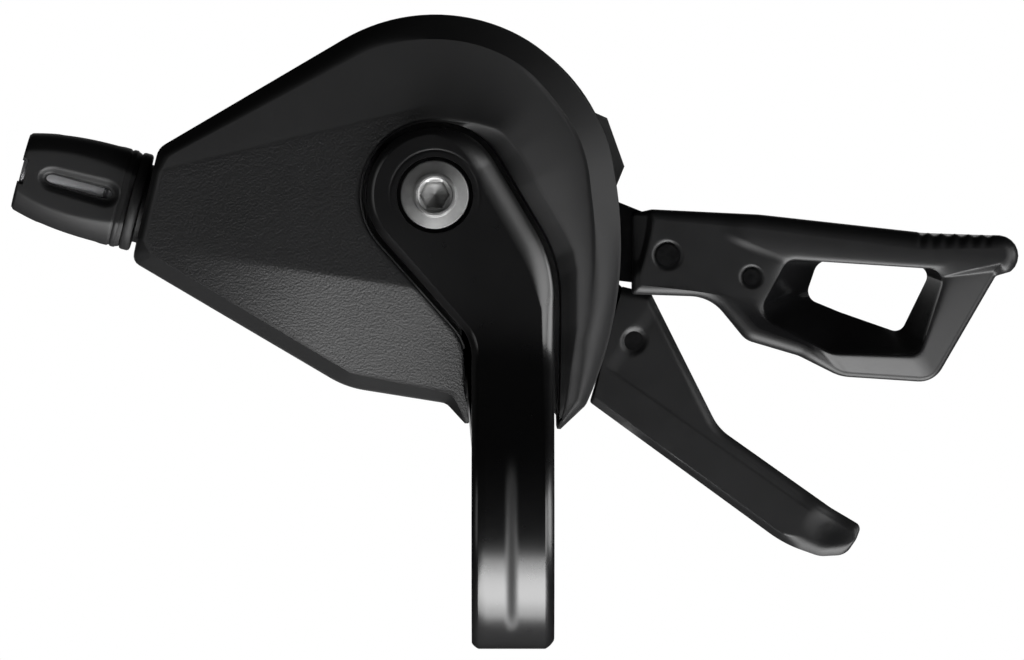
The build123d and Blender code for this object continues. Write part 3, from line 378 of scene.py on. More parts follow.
class Shader:
    """Node tree of a material or of the world."""

    def __init__(self, tree: bpy.types.NodeTree) -> None:
        """Empties the tree."""
        self.tree = tree
        tree.nodes.clear()

    def node(self, kind: str, settings: dict[str, Any], sockets: dict[Any, Any], output: Any = 0) -> Sock:
        """Adds a node.

        Args:
            kind: node type. settings: its own properties, set first. sockets: a value or a Sock for
            each named or numbered input. output: which output to return.

        Returns:
            The wrapped output.
        """
        node = self.tree.nodes.new(kind)
        for name, value in settings.items():
            setattr(node, name, value)
        for name, value in sockets.items():
            if isinstance(value, Sock):
                self.tree.links.new(value.socket, node.inputs[name])
            else:
                node.inputs[name].default_value = value
        return Sock(self, node.outputs[output])

    def ray(self, kind: str) -> Sock:
        """1 for rays of a kind, 0 for others."""
        return self.node("ShaderNodeLightPath", {}, {}, kind)

    def place(self) -> Sock:
        """Object coordinates."""
        return self.node("ShaderNodeTexCoord", {}, {}, "Object")

    def noise(self, size_mm: float, detail: float = 3.0, stretch: Optional[tuple] = None) -> Sock:
        """Noise whose blotches are about a size across, stretched along the axes if asked."""
        spot = self.place()
        if stretch:
            spot = self.node("ShaderNodeMapping", {}, {"Vector": spot, "Scale": stretch})
        sockets = {"Vector": spot, "Scale": 1 / (size_mm * MM), "Detail": detail, "Roughness": 0.55}
        return self.node("ShaderNodeTexNoise", {}, sockets)

    def pebbles(self, size_mm: float) -> Sock:
        """Distance to the middle of rounded cells about a size across."""
        sockets = {"Vector": self.place(), "Scale": 1 / (size_mm * MM), "Smoothness": 0.6}
        return self.node("ShaderNodeTexVoronoi", {"feature": "SMOOTH_F1"}, sockets, "Distance")

    def attribute(self, name: str) -> Sock:
        """A value that the mesh carries at its vertices."""
        return self.node("ShaderNodeAttribute", {"attribute_name": name}, {}, "Fac")

    def from_axis(self, point_mm: Sequence[float], axis: Sequence[float]) -> Sock:
        """Distance in metres from an axis through a point."""
        centre = [-x * MM for x in point_mm]
        spot = self.node("ShaderNodeMapping", {}, {"Vector": self.place(), "Location": centre})
        cross = self.node("ShaderNodeVectorMath", {"operation": "CROSS_PRODUCT"}, {0: spot, 1: axis})
        return self.node("ShaderNodeVectorMath", {"operation": "LENGTH"}, {0: cross}, "Value")

    def mix(self, share: Sock, a: Tone, b: Tone) -> Sock:
        """Colour between two colours. The Mix node's colour sockets are inputs 6 and 7 and output 2."""
        return self.node("ShaderNodeMix", {"data_type": "RGBA"}, {0: share, 6: (*a, 1.0), 7: (*b, 1.0)}, 2)

    def bump(self, height: Sock, rise_mm: float) -> Sock:
        """Normal of a surface raised by a height of 0 to 1 times a rise."""
        sockets = {"Height": height, "Distance": rise_mm * MM, "Strength": 1.0}
        return self.node("ShaderNodeBump", {}, sockets)

    def output(self, shader: Sock, kind: str) -> None:
        """Ends the tree."""
        end = self.tree.nodes.new(kind)
        self.tree.links.new(shader.socket, end.inputs["Surface"])


@dataclass(frozen=True)
class Finish:
    """A finish: two tones that drift into each other, a gloss that varies, and a fine texture."""

    name: str
    tone: Tone
    second: Tone
    roughness: float
    spread: float
    metallic: float = 0.0
    specular: float = 0.5
    drift_mm: float = 6.0
    grain_mm: float = 0.4
    rise_mm: float = 0.01

    def texture(self, shader: Shader) -> Sock:
        """Height of the fine texture, from 0 to 1."""
        return shader.noise(self.grain_mm, 4.0)

    def gloss(self, shader: Shader) -> Sock:
        """Roughness over the surface: the base value with blotches to either side."""
        return shader.noise(self.drift_mm * 0.35, 4.0) * (2 * self.spread) + (self.roughness - self.spread)

    def material(self) -> bpy.types.Material:
        """Builds the material."""
        made = bpy.data.materials.new(self.name)
        made.use_nodes = True
        shader = Shader(made.node_tree)
        sockets = {
            "Base Color": shader.mix(shader.noise(self.drift_mm).between(0.3, 0.7), self.tone, self.second),
            "Roughness": self.gloss(shader),
            "Metallic": self.metallic,
            "Specular IOR Level": self.specular,
            "Normal": shader.bump(self.texture(shader), self.rise_mm),
        }
        shader.output(shader.node("ShaderNodeBsdfPrincipled", {}, sockets), "ShaderNodeOutputMaterial")
        return made


@dataclass(frozen=True)
class SparkPlastic(Finish):
    """Moulded plastic with a pebbled, spark-eroded texture where the mesh's grain value says so."""

    pebble_mm: float = 0.45

    def texture(self, shader: Shader) -> Sock:
        """Pebbles where the grain value is high, over a fine noise everywhere."""
        pebbles = shader.pebbles(self.pebble_mm) * 0.7 + shader.noise(self.pebble_mm, 3.0) * 0.4
        return pebbles * shader.attribute("grain") + shader.noise(self.grain_mm, 4.0) * 0.25

    def gloss(self, shader: Shader) -> Sock:
        """The pebbles scatter by their shape, so they are a little glossier than the smooth zone."""
        return Finish.gloss(self, shader) - shader.attribute("grain") * 0.10


@dataclass(frozen=True)
class ForgedMetal(Finish):
    """Forged and coated metal, dull along the parting line where the mesh's parting value says so."""

    def gloss(self, shader: Shader) -> Sock:
        """Roughness rises along the parting line."""
        return Finish.gloss(self, shader) + shader.attribute("parting") * 0.65


@dataclass(frozen=True)
class WornPlastic(Finish):
    """Moulded plastic, polished where the mesh's polish value says so."""

    def gloss(self, shader: Shader) -> Sock:
        """Roughness falls where the plastic is polished."""
        return Finish.gloss(self, shader) - shader.attribute("polish") * 0.22


@dataclass(frozen=True)
class TurnedMetal(Finish):
    """Metal turned on a lathe: fine rings about an axis."""

    centre_mm: tuple[float, float, float] = (0.0, 0.0, 0.0)
    axis: tuple[float, float, float] = (0.0, 1.0, 0.0)
    pitch_mm: float = 0.16

    def texture(self, shader: Shader) -> Sock:
        """Sine of the distance from the axis, broken up by noise."""
        wave = (shader.from_axis(self.centre_mm, self.axis) * (2 * math.pi / (self.pitch_mm * MM))).sine()
        return wave * 0.35 + shader.noise(self.grain_mm, 4.0) * 0.6


@dataclass(frozen=True)
class BrushedMetal(Finish):
    """Rolled or drawn metal with fine lines along one direction."""

    stretch: tuple[float, float, float] = (0.06, 1.0, 1.0)

    def texture(self, shader: Shader) -> Sock:
        """Noise drawn out along the lines."""
        return shader.noise(self.grain_mm, 3.0, self.stretch)


PIVOT_SPOT = (float(PIVOT[0]), 0.0, float(PIVOT[2]))
BLACK = (0.0034, 0.0034, 0.0037)
SOOT = (0.0046, 0.0046, 0.0050)
COVER = SparkPlastic("cover_plastic", BLACK, SOOT, 0.56, 0.03, specular=0.50, drift_mm=9.0, rise_mm=0.042,
                     pebble_mm=0.24)
# Rear cover: the cover's black plastic with a lighter tone and a higher specular level, painted light that
# lifts its lug out of the cover's shadow
REAR_LIT = Finish("rear_cover_plastic_lit", SOOT, (0.0040, 0.0040, 0.0044), 0.58, 0.04, specular=0.8,
              drift_mm=8.0, rise_mm=0.008)
LEVER = WornPlastic("lever_plastic", BLACK, SOOT, 0.42, 0.04, specular=0.5,
                    drift_mm=7.0, grain_mm=0.5, rise_mm=0.006)
BARREL = Finish("adjuster_plastic", BLACK, SOOT, 0.54, 0.04, specular=0.64, drift_mm=4.0, rise_mm=0.006)
FORGED = ForgedMetal("forged_arm", (0.0012, 0.0012, 0.0014), (0.0020, 0.0020, 0.0023), 0.28, 0.02,
                     specular=1.0, drift_mm=8.0, grain_mm=0.22, rise_mm=0.003)
BOLT = TurnedMetal("bolt_steel", (0.29, 0.29, 0.29), (0.38, 0.38, 0.376), 0.42, 0.05, metallic=1.0,
                   drift_mm=2.0, grain_mm=0.3, rise_mm=0.004, centre_mm=PIVOT_SPOT)
BLACKED = BrushedMetal("blackened_steel", (0.010, 0.010, 0.011), (0.016, 0.016, 0.017), 0.36, 0.05,
                       metallic=1.0, drift_mm=3.0, grain_mm=0.25, rise_mm=0.004)
SLEEVE = Finish("sleeve_aluminium", (0.70, 0.70, 0.72), (0.80, 0.80, 0.82), 0.45, 0.06, metallic=1.0,
                drift_mm=2.0, grain_mm=0.2, rise_mm=0.004)
RIVET = BrushedMetal("rivet_steel", (0.020, 0.020, 0.021), (0.032, 0.032, 0.033), 0.38, 0.06, metallic=1.0,
                     drift_mm=1.2, grain_mm=0.2, rise_mm=0.005)
STEEL = BrushedMetal("steel", (0.36, 0.36, 0.37), (0.46, 0.46, 0.47), 0.36, 0.07, metallic=1.0,
                     drift_mm=3.0, grain_mm=0.25, rise_mm=0.006)
SPRING = BrushedMetal("spring_steel", (0.30, 0.29, 0.27), (0.40, 0.39, 0.37), 0.3, 0.05, metallic=1.0,
                      drift_mm=1.5, grain_mm=0.15, rise_mm=0.003)


class Wardrobe:
    """Makes each finish once."""

    def __init__(self) -> None:
        """Starts empty."""
        self.made: dict[str, bpy.types.Material] = {}

    def get(self, finish: Finish) -> bpy.types.Material:
        """Material of a finish."""
        if finish.name not in self.made:
            self.made[finish.name] = finish.material()
        return self.made[finish.name]


WARDROBE = Wardrobe()


def make_piece(name: str, skin: Skin, body: Body, node: str, finish: Finish,
               crease: float = 32.0) -> None:
    """Makes a mesh of a surface, merges its seams, and puts it on its body in place of a CAD node.

    Args:
        name: piece name. skin: the surface. body: what it rides on. node: the CAD node it replaces.
    """
    mesh = bpy.data.meshes.new(name)
    mesh.from_pydata((skin.points * MM).tolist(), [], skin.faces)
    for label, values in skin.values.items():
        layer = mesh.attributes.new(label, "FLOAT", "POINT")
        layer.data.foreach_set("value", np.asarray(values, np.float32).ravel())
    work = bmesh.new()
    work.from_mesh(mesh)
    bmesh.ops.remove_doubles(work, verts=work.verts, dist=2e-6)
    bmesh.ops.dissolve_degenerate(work, edges=work.edges, dist=1e-7)
    bmesh.ops.recalc_face_normals(work, faces=work.faces)
    work.to_mesh(mesh)
    work.free()
    mesh.polygons.foreach_set("use_smooth", np.ones(len(mesh.polygons), bool))
    mesh.set_sharp_from_angle(angle=math.radians(crease))
    piece = bpy.data.objects.new(name, mesh)
    bpy.context.scene.collection.objects.link(piece)
    mesh.materials.append(WARDROBE.get(finish))
    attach(piece, body.value)
    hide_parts(node)
    LOG.info("%s: %d faces on %s", name, len(mesh.polygons), body.value)


# Pieces


@dataclass
class ClampBracket:
    """Forged arm with a boss, a sloping neck and a split band, in one piece.

    The arm's face has a facet left of a crease and a bead round the bolt's recess, of a width and a
    height. The band has a shallow groove along the parting line, of half a width and a depth. bow is how
    far the mesh lines of the neck are pushed aside.
    """

    boss_r: float = 7.85
    right_lean: float = 30.6
    left_lean: float = 41.5
    right_bend: float = 16.0
    left_bend: float = 5.0
    thick: float = 4.6
    band_r: float = 13.9
    bar_r: float = 11.1
    width: float = 9.5
    fold: float = 5.6
    bevel_end: float = -13.2
    bore_r: float = 2.6
    recess_r: float = 4.4
    recess: float = 2.4
    crease: Point = (2.4, -6.75)
    crease_ways: Point = (219.7, 249.3)
    facet_fall: float = 5.0
    bead_r: float = 5.15
    bead: Point = (0.16, 0.05)
    bow: Point = (3.0, -1.2)
    split: Point = (0.9, 3.3)
    ear_high: float = 8.7
    ear_low: float = -4.5
    ear_far: float = 19.9
    groove: Point = (1.0, 0.06)
    groove_at: float = -0.15

    def flanks(self, grow: float) -> tuple[Point, Point]:
        """Corners where the flanks meet the band's sides, with the outline grown by a distance."""
        radius = self.boss_r + grow
        right, left = self.width / 2 - PIVOT[0] + grow, -self.width / 2 - PIVOT[0] - grow
        way_r, way_l = polar(1.0, self.right_lean), polar(1.0, 180 + self.left_lean)
        return (
            (left, (radius - left * way_l[0]) / way_l[1]),
            (right, (radius - right * way_r[0]) / way_r[1]),
        )

    def outline(self, grow: float, foot: float) -> tuple[Array, Array]:
        """Corners and radii of the arm's outline, clockwise from the left foot.

        Args:
            grow: how far outside the arm. foot: height of the lower end.

        Returns:
            Corners as (n, 2) and their radii.
        """
        left, right = self.flanks(grow)
        turns = np.linspace(180 + self.left_lean, self.right_lean, 48)
        corners = np.vstack([(left[0], foot), left, polar(self.boss_r + grow, turns), right,
                             (right[0], self.bevel_end), (right[0], foot)])
        radii = np.zeros(len(corners))
        radii[1], radii[-3] = self.left_bend + grow, self.right_bend - grow
        return corners, radii

    def arm_depth(self, uv: Array) -> Array:
        """Depth of the arm's face: flat by the boss, the facet, then the neck's slope to the band."""
        u, v = uv[..., 0], uv[..., 1]
        past = soft_min(*(beyond(uv, self.crease, way) for way in self.crease_ways), 0.8)
        fall = math.tan(math.radians(self.facet_fall))
        facet = soft_max(0.0, fall * past, 0.2) * (1 - ramp(-v, 15, 22))
        away = np.hypot(u, v) - self.bead_r
        bead = self.bead[1] * np.exp(-((away / self.bead[0]) ** 2)) * ramp(v, -3.0, 3.0)
        fold_z = self.band_r + self.fold
        slope = 1 / math.tan(math.acos(self.band_r / fold_z))
        z = v + PIVOT[2]
        ring = -np.sqrt(np.maximum(self.band_r**2 - z**2, 0))
        neck = np.where(z > self.band_r**2 / fold_z, (z - fold_z) * slope, ring)
        return soft_min(facet + bead, neck, 2.4 * (1 - ramp(fold_z - z, 2.0, 7.0))) + 0.012

    def arm_back(self, uv: Array) -> Array:
        """Depth of the arm's back: flat above the band, then inside the band's wall."""
        z = uv[..., 1] + PIVOT[2]
        middle = (self.band_r + self.bar_r) / 2
        return np.where(z > middle, self.thick, -np.sqrt(np.maximum(middle**2 - z**2, 0)))

    def arm(self) -> Skin:
        """Arm plate: rows run from the bolt's bore over the face, the bevel and the side to the back.

        Columns follow the outline and the circle about the bolt at matching places. Those of the neck's
        left side bow to the right on a parabola, so that they pass inside the bend.

        Returns:
            Closed surface.
        """
        foot = -PIVOT[2] + self.band_r * 0.6
        corners, radii = self.outline(0.0, foot)
        edge = Track.through(corners, radii)
        # The bevel is narrow on the left and widens down the right flank to the bend
        right_flank = slice(-19, -2)
        bevels, drops = np.full(len(corners), 0.9), np.full(len(corners), 0.8)
        bevels[:2], drops[:2] = 0.8, 0.83
        bevels[right_flank], drops[right_flank] = np.linspace(0.9, 2.9, 17), np.linspace(0.8, 1.0, 17)
        bevels[-2:], drops[-2:] = (1.5, 1.05), (1.0, 1.3)
        flat = Track.through(inset(corners, bevels), np.maximum(radii - 0.5, 0))
        s = np.linspace(0, edge.length, 340, endpoint=False)
        rim = edge.at(s)
        crown = edge.matched(s, flat)
        left, right = self.flanks(0.0)
        spots = [(left[0], foot), left, polar(self.boss_r, 180 + self.left_lean),
                 polar(self.boss_r, self.right_lean), right, (right[0], foot)]
        marks = np.append(edge.near(spots), edge.length + edge.near(spots[:1])[0])
        turns = [316.0, 296.0, 180 + self.left_lean, self.right_lean, -30.0, -40.0, -44.0]
        place = np.mod(s - marks[0], edge.length)
        turn = np.interp(place + marks[0], marks, turns)
        bend, last = marks[1] - marks[0], marks[5] - marks[0]
        bowing = 1 - ramp(place, bend - 9.0, bend + 6.0) + ramp(place, last, edge.length)
        bevel = edge.valued(s, drops)
        rings = [(self.bore_r, self.thick), (self.bore_r, self.recess), (self.recess_r, self.recess),
                 (self.recess_r, 0.03)]
        rows = [on_body(polar(r, turn), d) for r, d in rings]
        shares = np.concatenate([np.linspace(0, 0.3, 16)[:-1], np.linspace(0.3, 1, 60)])
        parabola = 2 * (shares * (1 - shares))[:, None, None]
        bowed = parabola * bowing[None, :, None] * np.array(self.bow)
        face = blend(polar(self.recess_r + 0.03, turn), crown, shares) + bowed
        rows += list(on_body(face, self.arm_depth(face)))
        bevel_shares = (0.08, 0.2, 0.4, 0.6, 0.8, 0.93, 1.0)
        bevel_drops = (0.04, 0.11, 0.27, 0.47, 0.73, 0.95, 1.2)
        for share, drop in zip(bevel_shares, bevel_drops):
            line = crown + (rim - crown) * share
            rows.append(on_body(line, self.arm_depth(line) + bevel * drop))
        rows.append(on_body(rim, self.arm_back(rim) - 0.2))
        rows.append(on_body(rim + (crown - rim) * 0.1, self.arm_back(rim)))
        for share in (0.25, 0.5, 0.75):
            line = rim + (polar(self.bore_r, turn) - rim) * share
            rows.append(on_body(line, self.arm_back(line)))
        return grid_skin(np.stack(rows), wrap_rows=True)

    def band_path(self) -> tuple[Array, Array]:
        """Outer line of the band from lip to lip of the split, over ear, circle and ear.

        Returns:
            Points as (n, 2) across the bar, and the angle about the bar that goes with each.
        """
        r = self.band_r
        ear_top, ear_low = (math.degrees(math.asin(z / r)) for z in (self.ear_high, self.ear_low))
        corners = np.vstack([
            (self.ear_far, self.split[1]), (self.ear_far, self.ear_high), polar(r, ear_top),
            polar(r, np.arange(ear_top + 4, 360 + ear_low - 3, 2.5)), polar(r, 360 + ear_low),
            (self.ear_far, self.ear_low), (self.ear_far, self.split[0]),
        ])
        radii = np.zeros(len(corners))
        radii[[1, -2]] = 1.3
        radii[[2, -3]] = 1.0
        outer = Track.through(corners, radii, closed=False)
        s = np.linspace(0, outer.length, 330)
        quarters = polar(r, np.array([ear_top, 90.0, 180.0, 270.0, 360 + ear_low]))
        spots = np.vstack([corners[:2], quarters, corners[-2:]])
        lips = [math.degrees(math.asin(z / self.bar_r)) for z in self.split]
        turns = [lips[1], 30, ear_top, 90, 180, 270, 360 + ear_low, 352, 360 + lips[0]]
        return outer.at(s), np.interp(s, outer.near(spots), turns)

    def band(self) -> Skin:
        """Band: a section across the bar, carried round the bar from lip to lip of the split.

        The outer line of the path follows ear, circle and ear, the inner line the bar. The section's
        outer side curves down at both edges and sinks a little along the parting line in the middle.

        Returns:
            Closed surface.
        """
        line, turn = self.band_path()
        way = unit(np.gradient(line, axis=0))
        normal = np.stack([way[:, 1], -way[:, 0]], axis=-1)
        half = self.width / 2
        left_in = np.array([0.0, 0.056, 0.16, 0.32, 0.48, 0.64, 0.8])
        left_drop = [0.75, 0.595, 0.458, 0.295, 0.17, 0.069, 0.0]
        right_in = np.array([1.05, 0.84, 0.63, 0.42, 0.21, 0.07, 0.0])
        right_drop = [0.0, 0.108, 0.265, 0.46, 0.715, 0.93, 1.15]
        valley = np.linspace(-1, 1, 17)
        across = np.concatenate([left_in - half, [-3.0, -1.6], valley * self.groove[0] + self.groove_at,
                                 [1.4, 2.6], half - right_in])
        edge = np.concatenate([left_drop, np.zeros(len(valley) + 4), right_drop])
        dip = np.pad(0.5 + 0.5 * np.cos(valley * math.pi), 2 + len(left_drop))
        fade = ramp(turn, 138, 165) * (1 - ramp(turn, 222, 242))
        drop = edge[None] + self.groove[1] * fade[:, None] * dip[None]
        sunk = line[:, None] - normal[:, None] * drop[..., None]
        top = np.concatenate([np.broadcast_to(across, drop.shape)[..., None], sunk], axis=-1)
        under = np.array([half, half - 0.3, 0.0, 0.3 - half, -half])
        lift = np.array([0.3, 0, 0, 0, 0.3])
        bore = polar(self.bar_r, turn)[:, None] * (1 + lift[None, :, None] / self.bar_r)
        low = np.concatenate([np.broadcast_to(under, bore.shape[:2])[..., None], bore], axis=-1)
        skin = grid_skin(np.concatenate([top, low], axis=1), caps=True)
        parting = np.pad(fade[:, None] * dip[None], ((0, 0), (0, len(under))))
        skin.values["parting"] = np.append(parting.ravel(), [0.0, 0.0])
        return skin

    def build(self) -> None:
        """Makes the bracket."""
        make_piece("clamp_bracket_forging", self.arm() + self.band(), Body.CASE, "clamp_bracket",
                   FORGED, crease=26.0)


@dataclass
class ArmBolt:
    """Socket bolt with a conical flange and a raised ring."""

    ring_r: float = 2.4
    head_r: float = 4.0
    head: float = 2.4
    shank_r: float = 2.5
    reach: float = 13.3
    socket: float = 3.0
    columns: int = 96

    def build(self) -> None:
        """Rings about the pivot, from the socket's floor over the head to the shank's end.

        Inside the socket the radius at an angle is that of a hexagon; outside it is a circle.
        """
        turn = np.linspace(0, 360, self.columns, endpoint=False)
        hexagon = self.socket / 2 / np.cos(np.radians(np.mod(turn, 60) - 30))
        ring, head, shank, floor = self.ring_r, self.head_r, self.shank_r, self.head * 0.7
        rows = [(0.05, floor + 0.5), (1.2, floor), (hexagon * 0.97, floor - 0.02), (hexagon, floor - 0.08),
                (hexagon, 0.42), (hexagon * 1.05, 0.34), (1.86, 0.30), (1.98, 0.24), (2.06, 0.08),
                (2.14, 0.0), (ring - 0.04, 0.02), (ring + 0.08, 0.14), (ring + 0.14, 0.40),
                (ring + 0.24, 0.44), (head - 0.3, 0.46), (head - 0.1, 0.54), (head, 0.75),
                (head, self.head), (shank, self.head), (shank, self.reach - 0.4), (shank - 0.4, self.reach)]
        grid = np.stack([on_body(polar(r, turn), d) for r, d in rows])
        make_piece("arm_bolt_turned", grid_skin(grid, caps=True), Body.CASE, "arm_bolt", BOLT,
                   crease=24.0)


@dataclass
class UpperCover:
    """Moulded cover: faceted wedge towards the adjuster, smooth hood beside the arm, recess for the arm.

    Each crease is a point on it and the direction, in degrees, in which its facet falls. lip and ridge
    are a height and a width. The turns are angles about the pivot between which the hood becomes level,
    the pebbles set in, and the arm's left side is passed.
    """

    bracket: ClampBracket
    radius: float = 20.87
    top_slope: float = 30.5
    top_run: float = 24.7
    left_foot: Point = (-34.95, -7.6)
    keel: Point = (-10.3, -22.15)
    gusset: tuple[Point, Point] = ((1.3, -24.0), (4.05, -27.0))
    under_arm: tuple[Point, Point] = ((4.05, -24.0), (13.9, -23.6))
    tail: Point = (14.0, -27.4)
    tail_corner: Point = (17.4, -24.2)
    cheek: Point = (21.3, -9.5)
    lower_crease: tuple[Point, float] = ((-16.6, -8.5), -98.7)
    lower_fall: Point = (3.0, 18.0)
    upper_crease: tuple[Point, float] = ((-20.1, 5.6), 103.6)
    upper_fall: float = 3.5
    gutter_crease: tuple[Point, float] = ((-1.7, -11.5), -41.4)
    gutter_face: float = 2.58
    gutter_fall: float = 9.7
    face: float = 2.4
    hood_face: float = 0.6
    hood_rise: float = 0.27
    hood_power: float = 1.8
    hood_edge: tuple[Point, ...] = (
        (7.5, 7.4), (9.5, 5.0), (12.0, 0.6), (14.4, -3.5), (15.8, -6.3), (16.2, -8.6), (16.2, -15.5),
        (15.6, -19.6), (15.1, -23.6), (14.45, -26.2),
    )
    hood_top: Point = (4.5, 8.2)
    hood_end: Point = (13.6, -23.1)
    recess_foot: float = -23.2
    recess_tail: float = -26.1
    recess_end: Point = (13.3, -22.9)
    recess_lip: float = 0.2
    spine_end: Point = (9.0, -17.0)
    lip: Point = (0.22, 0.2)
    ridge: Point = (0.3, 0.3)
    bench_fall: Point = (0.75, 0.7)
    side_round: float = 0.25
    level_turns: Point = (40, 112)
    grain_turns: Point = (84, 100)
    below_turns: Point = (-66, -64)
    seat: float = 4.6
    ceiling: float = 6.4
    parting: float = 12.4
    wall: float = 1.8
    gap: float = 0.6
    mouth: Point = (-35.2, 13.4)
    mouth_near: float = 6.9
    columns: int = 400

    def corners(self) -> tuple[Array, dict[str, Array]]:
        """Outline corners, clockwise from the arm's left side, with what changes along the edge.

        Returns:
            Corners as (n, 2), and at each the corner radius, the width and drop of the edge's slope,
            how round that slope is and how high a ridge stands along its inner side.
        """
        top_end = polar(self.radius, 90 + self.top_slope)
        left_top = top_end + polar(1.0, 180 + self.top_slope) * self.top_run
        foot = np.array(self.left_foot)
        turns = np.linspace(90 + self.top_slope, 7.0, 36)
        crown = polar(self.radius - 0.32 * np.exp(-(((turns - 38) / 13) ** 2)), turns)
        cheek = arc_through(tuple(crown[-1]), self.cheek, self.tail_corner, 16)[1:]
        head = [(0.3, 0.15, 0.3, 0.0, 0.0), (0.4, 0.25, 0.4, 0.0, 0.0), (1.5, 1.2, 2.0, 0.0, 0.2),
                (11.0, 1.7, 3.7, 0.0, 0.12), (1.2, 1.8, 4.4, 0.0, 0.12), (0.0, 0.9, 1.0, 1.0, 0.0),
                (0.0, 0.9, 1.0, 1.0, 0.0), (2.0, 1.5, 1.9, 0.7, 0.0)]
        step = np.arange(len(crown))
        arch = np.tile([0.0, 2.9, 2.6, 0.0, 0.0], (len(crown), 1))
        arch[:, 1] = 2.5 + 0.4 * ramp(step, 0, 9)
        arch[:, 3] = 0.8 * (1 - ramp(step, 2, 10))
        arch[:, 4] = ramp(step, 18, 26)
        fade = ramp(np.arange(len(cheek)) / len(cheek), 0.05, 0.6)[:, None]
        side = np.array([0.0, 3.0, 2.6, 0.0, 1.0]) * (1 - fade) + np.array([0.0, 2.8, 2.6, 1.3, 0.0]) * fade
        side[-4:, 1] = np.linspace(2.4, 1.2, 4)
        side[-4:, 2] = np.linspace(2.4, 1.6, 4)
        end = [(0.3, 0.35, 0.7, 1.0, 0.0), (0.4, 0.25, 0.2, 0.0, 0.0)]
        points = np.vstack([self.under_arm[0], self.gusset[1], self.gusset[0], self.keel, foot,
                            foot + (left_top - foot) * 0.2, foot + (left_top - foot) * 0.8, left_top,
                            crown, cheek, self.tail, self.under_arm[1]])
        names = ("radius", "width", "drop", "round", "ridge")
        return points, dict(zip(names, np.vstack([head, arch, side, end]).T))

    def facets(self, uv: Array) -> Array:
        """Depth of the wedge: a flat with one facet falling upwards, one downwards, and a gutter by the arm.

        The lower facet falls more steeply towards the arm.
        """
        gentle, steep = self.lower_fall
        slope = np.tan(np.radians(gentle + (steep - gentle) * ramp(uv[..., 0], -32, -10)))
        lower = self.face + slope * beyond(uv, *self.lower_crease)
        upper = self.face + math.tan(math.radians(self.upper_fall)) * beyond(uv, *self.upper_crease)
        gutter_slope = math.tan(math.radians(self.gutter_fall))
        gutter = self.gutter_face + gutter_slope * beyond(uv, *self.gutter_crease)
        return soft_max(soft_max(soft_max(self.face, lower, 0.06), upper, 0.05), gutter, 0.05)

    def hood(self, share: Array, length: Array) -> Array:
        """Depth of the hood at shares of the way from the recess to the crest, for columns of a length.

        It falls from the recess's edge on a power curve that flattens towards the crest.
        """
        start = np.maximum(self.hood_face, self.face - self.hood_rise * length)
        return start + (self.face - start) * (1 - (1 - share[:, None]) ** self.hood_power)

    def paths(self) -> dict[str, Array]:
        """Matching points of every line that the rows run between, one for each column.

        Returns:
            spine and foot of the recess, its top, the crest, the edge, the outline and the inner wall,
            with the edge's values.
        """
        points, table = self.corners()
        outline = Track.through(points, table["radius"])
        s = np.linspace(0, outline.length, self.columns, endpoint=False)
        values = {name: outline.valued(s, column) for name, column in table.items()}
        crest = Track.through(inset(points, table["width"]), np.minimum(table["radius"], 1.5))
        inner = Track.through(inset(points, self.wall), np.minimum(table["radius"], 1.0))
        soft = Track.through(inset(points, np.minimum(table["width"] * 0.3, 0.1)), table["radius"])
        arm, radii = self.bracket.outline(self.gap, self.recess_foot)
        arm[-1, 1] = self.recess_tail
        foot = Track.through(np.vstack([arm, self.recess_end]), np.append(radii, 0.3))
        foot_r = self.bracket.boss_r + self.gap
        top_r = foot_r + self.recess_lip
        left, _ = self.bracket.flanks(self.gap + self.recess_lip)
        top_start = (left[0], -23.5)
        turns = np.linspace(180 + self.bracket.left_lean, 82, 30)
        top_points = np.vstack([top_start, left, polar(top_r, turns), self.hood_top, self.hood_edge,
                                self.hood_end])
        top_radii = np.concatenate([[0.2, 5.4], np.zeros(len(turns)), [4.0, 3.5], np.full(8, 3.0),
                                    [0.2, 0.3]])
        top = Track.through(top_points, top_radii)
        round_arm = np.array([221.5, 165, 120.5, 84])
        spots = np.vstack([self.under_arm[0], self.keel, self.left_foot, points[7],
                           polar(self.radius, np.array([120.5, 75, 42, 10])), self.cheek, (18.6, -19.6),
                           self.tail, self.under_arm[1]])
        on_top = np.vstack([top_start, left, polar(top_r, round_arm),
                            [self.hood_edge[n] for n in (0, 2, 5, 7, 9)], self.hood_end])
        on_foot = np.vstack([arm[0], self.bracket.flanks(self.gap)[0], polar(foot_r, round_arm),
                             polar(foot_r, 45), (10.14, -0.56), (14.2, -9.5), (14.35, -19.6), arm[-1],
                             self.recess_end])
        lines = {
            "foot": outline.paired(s, spots, foot, on_foot),
            "top": outline.paired(s, spots, top, on_top),
            "crest": outline.matched(s, crest),
            "soft": outline.matched(s, soft),
            "outline": outline.at(s),
            "inner": outline.matched(s, inner),
        }
        end = np.array(self.spine_end)
        lines["spine"] = end * np.clip(lines["foot"] @ end / np.sum(end**2), 0, 1)[:, None]
        values["under"] = (s > outline.near([self.tail])[0]).astype(float)
        return {**lines, **values}

    def build(self) -> None:
        """Rows run from the recess's floor up its wall, over the face to the crest and down the side.

        The inner side of the shell is flat under the face and follows the outline down the side. The
        mouth of the release lever stays open.
        """
        p = self.paths()
        under = p["under"]
        turn = np.degrees(np.arctan2(p["outline"][:, 1], p["outline"][:, 0]))
        length = np.linalg.norm(p["crest"] - p["top"], axis=1)
        below = 1 - ramp(turn, *self.below_turns)

        def floor(uv: Array) -> Array:
            """Depth of the recess's floor."""
            return np.maximum(self.seat, self.facets(uv))

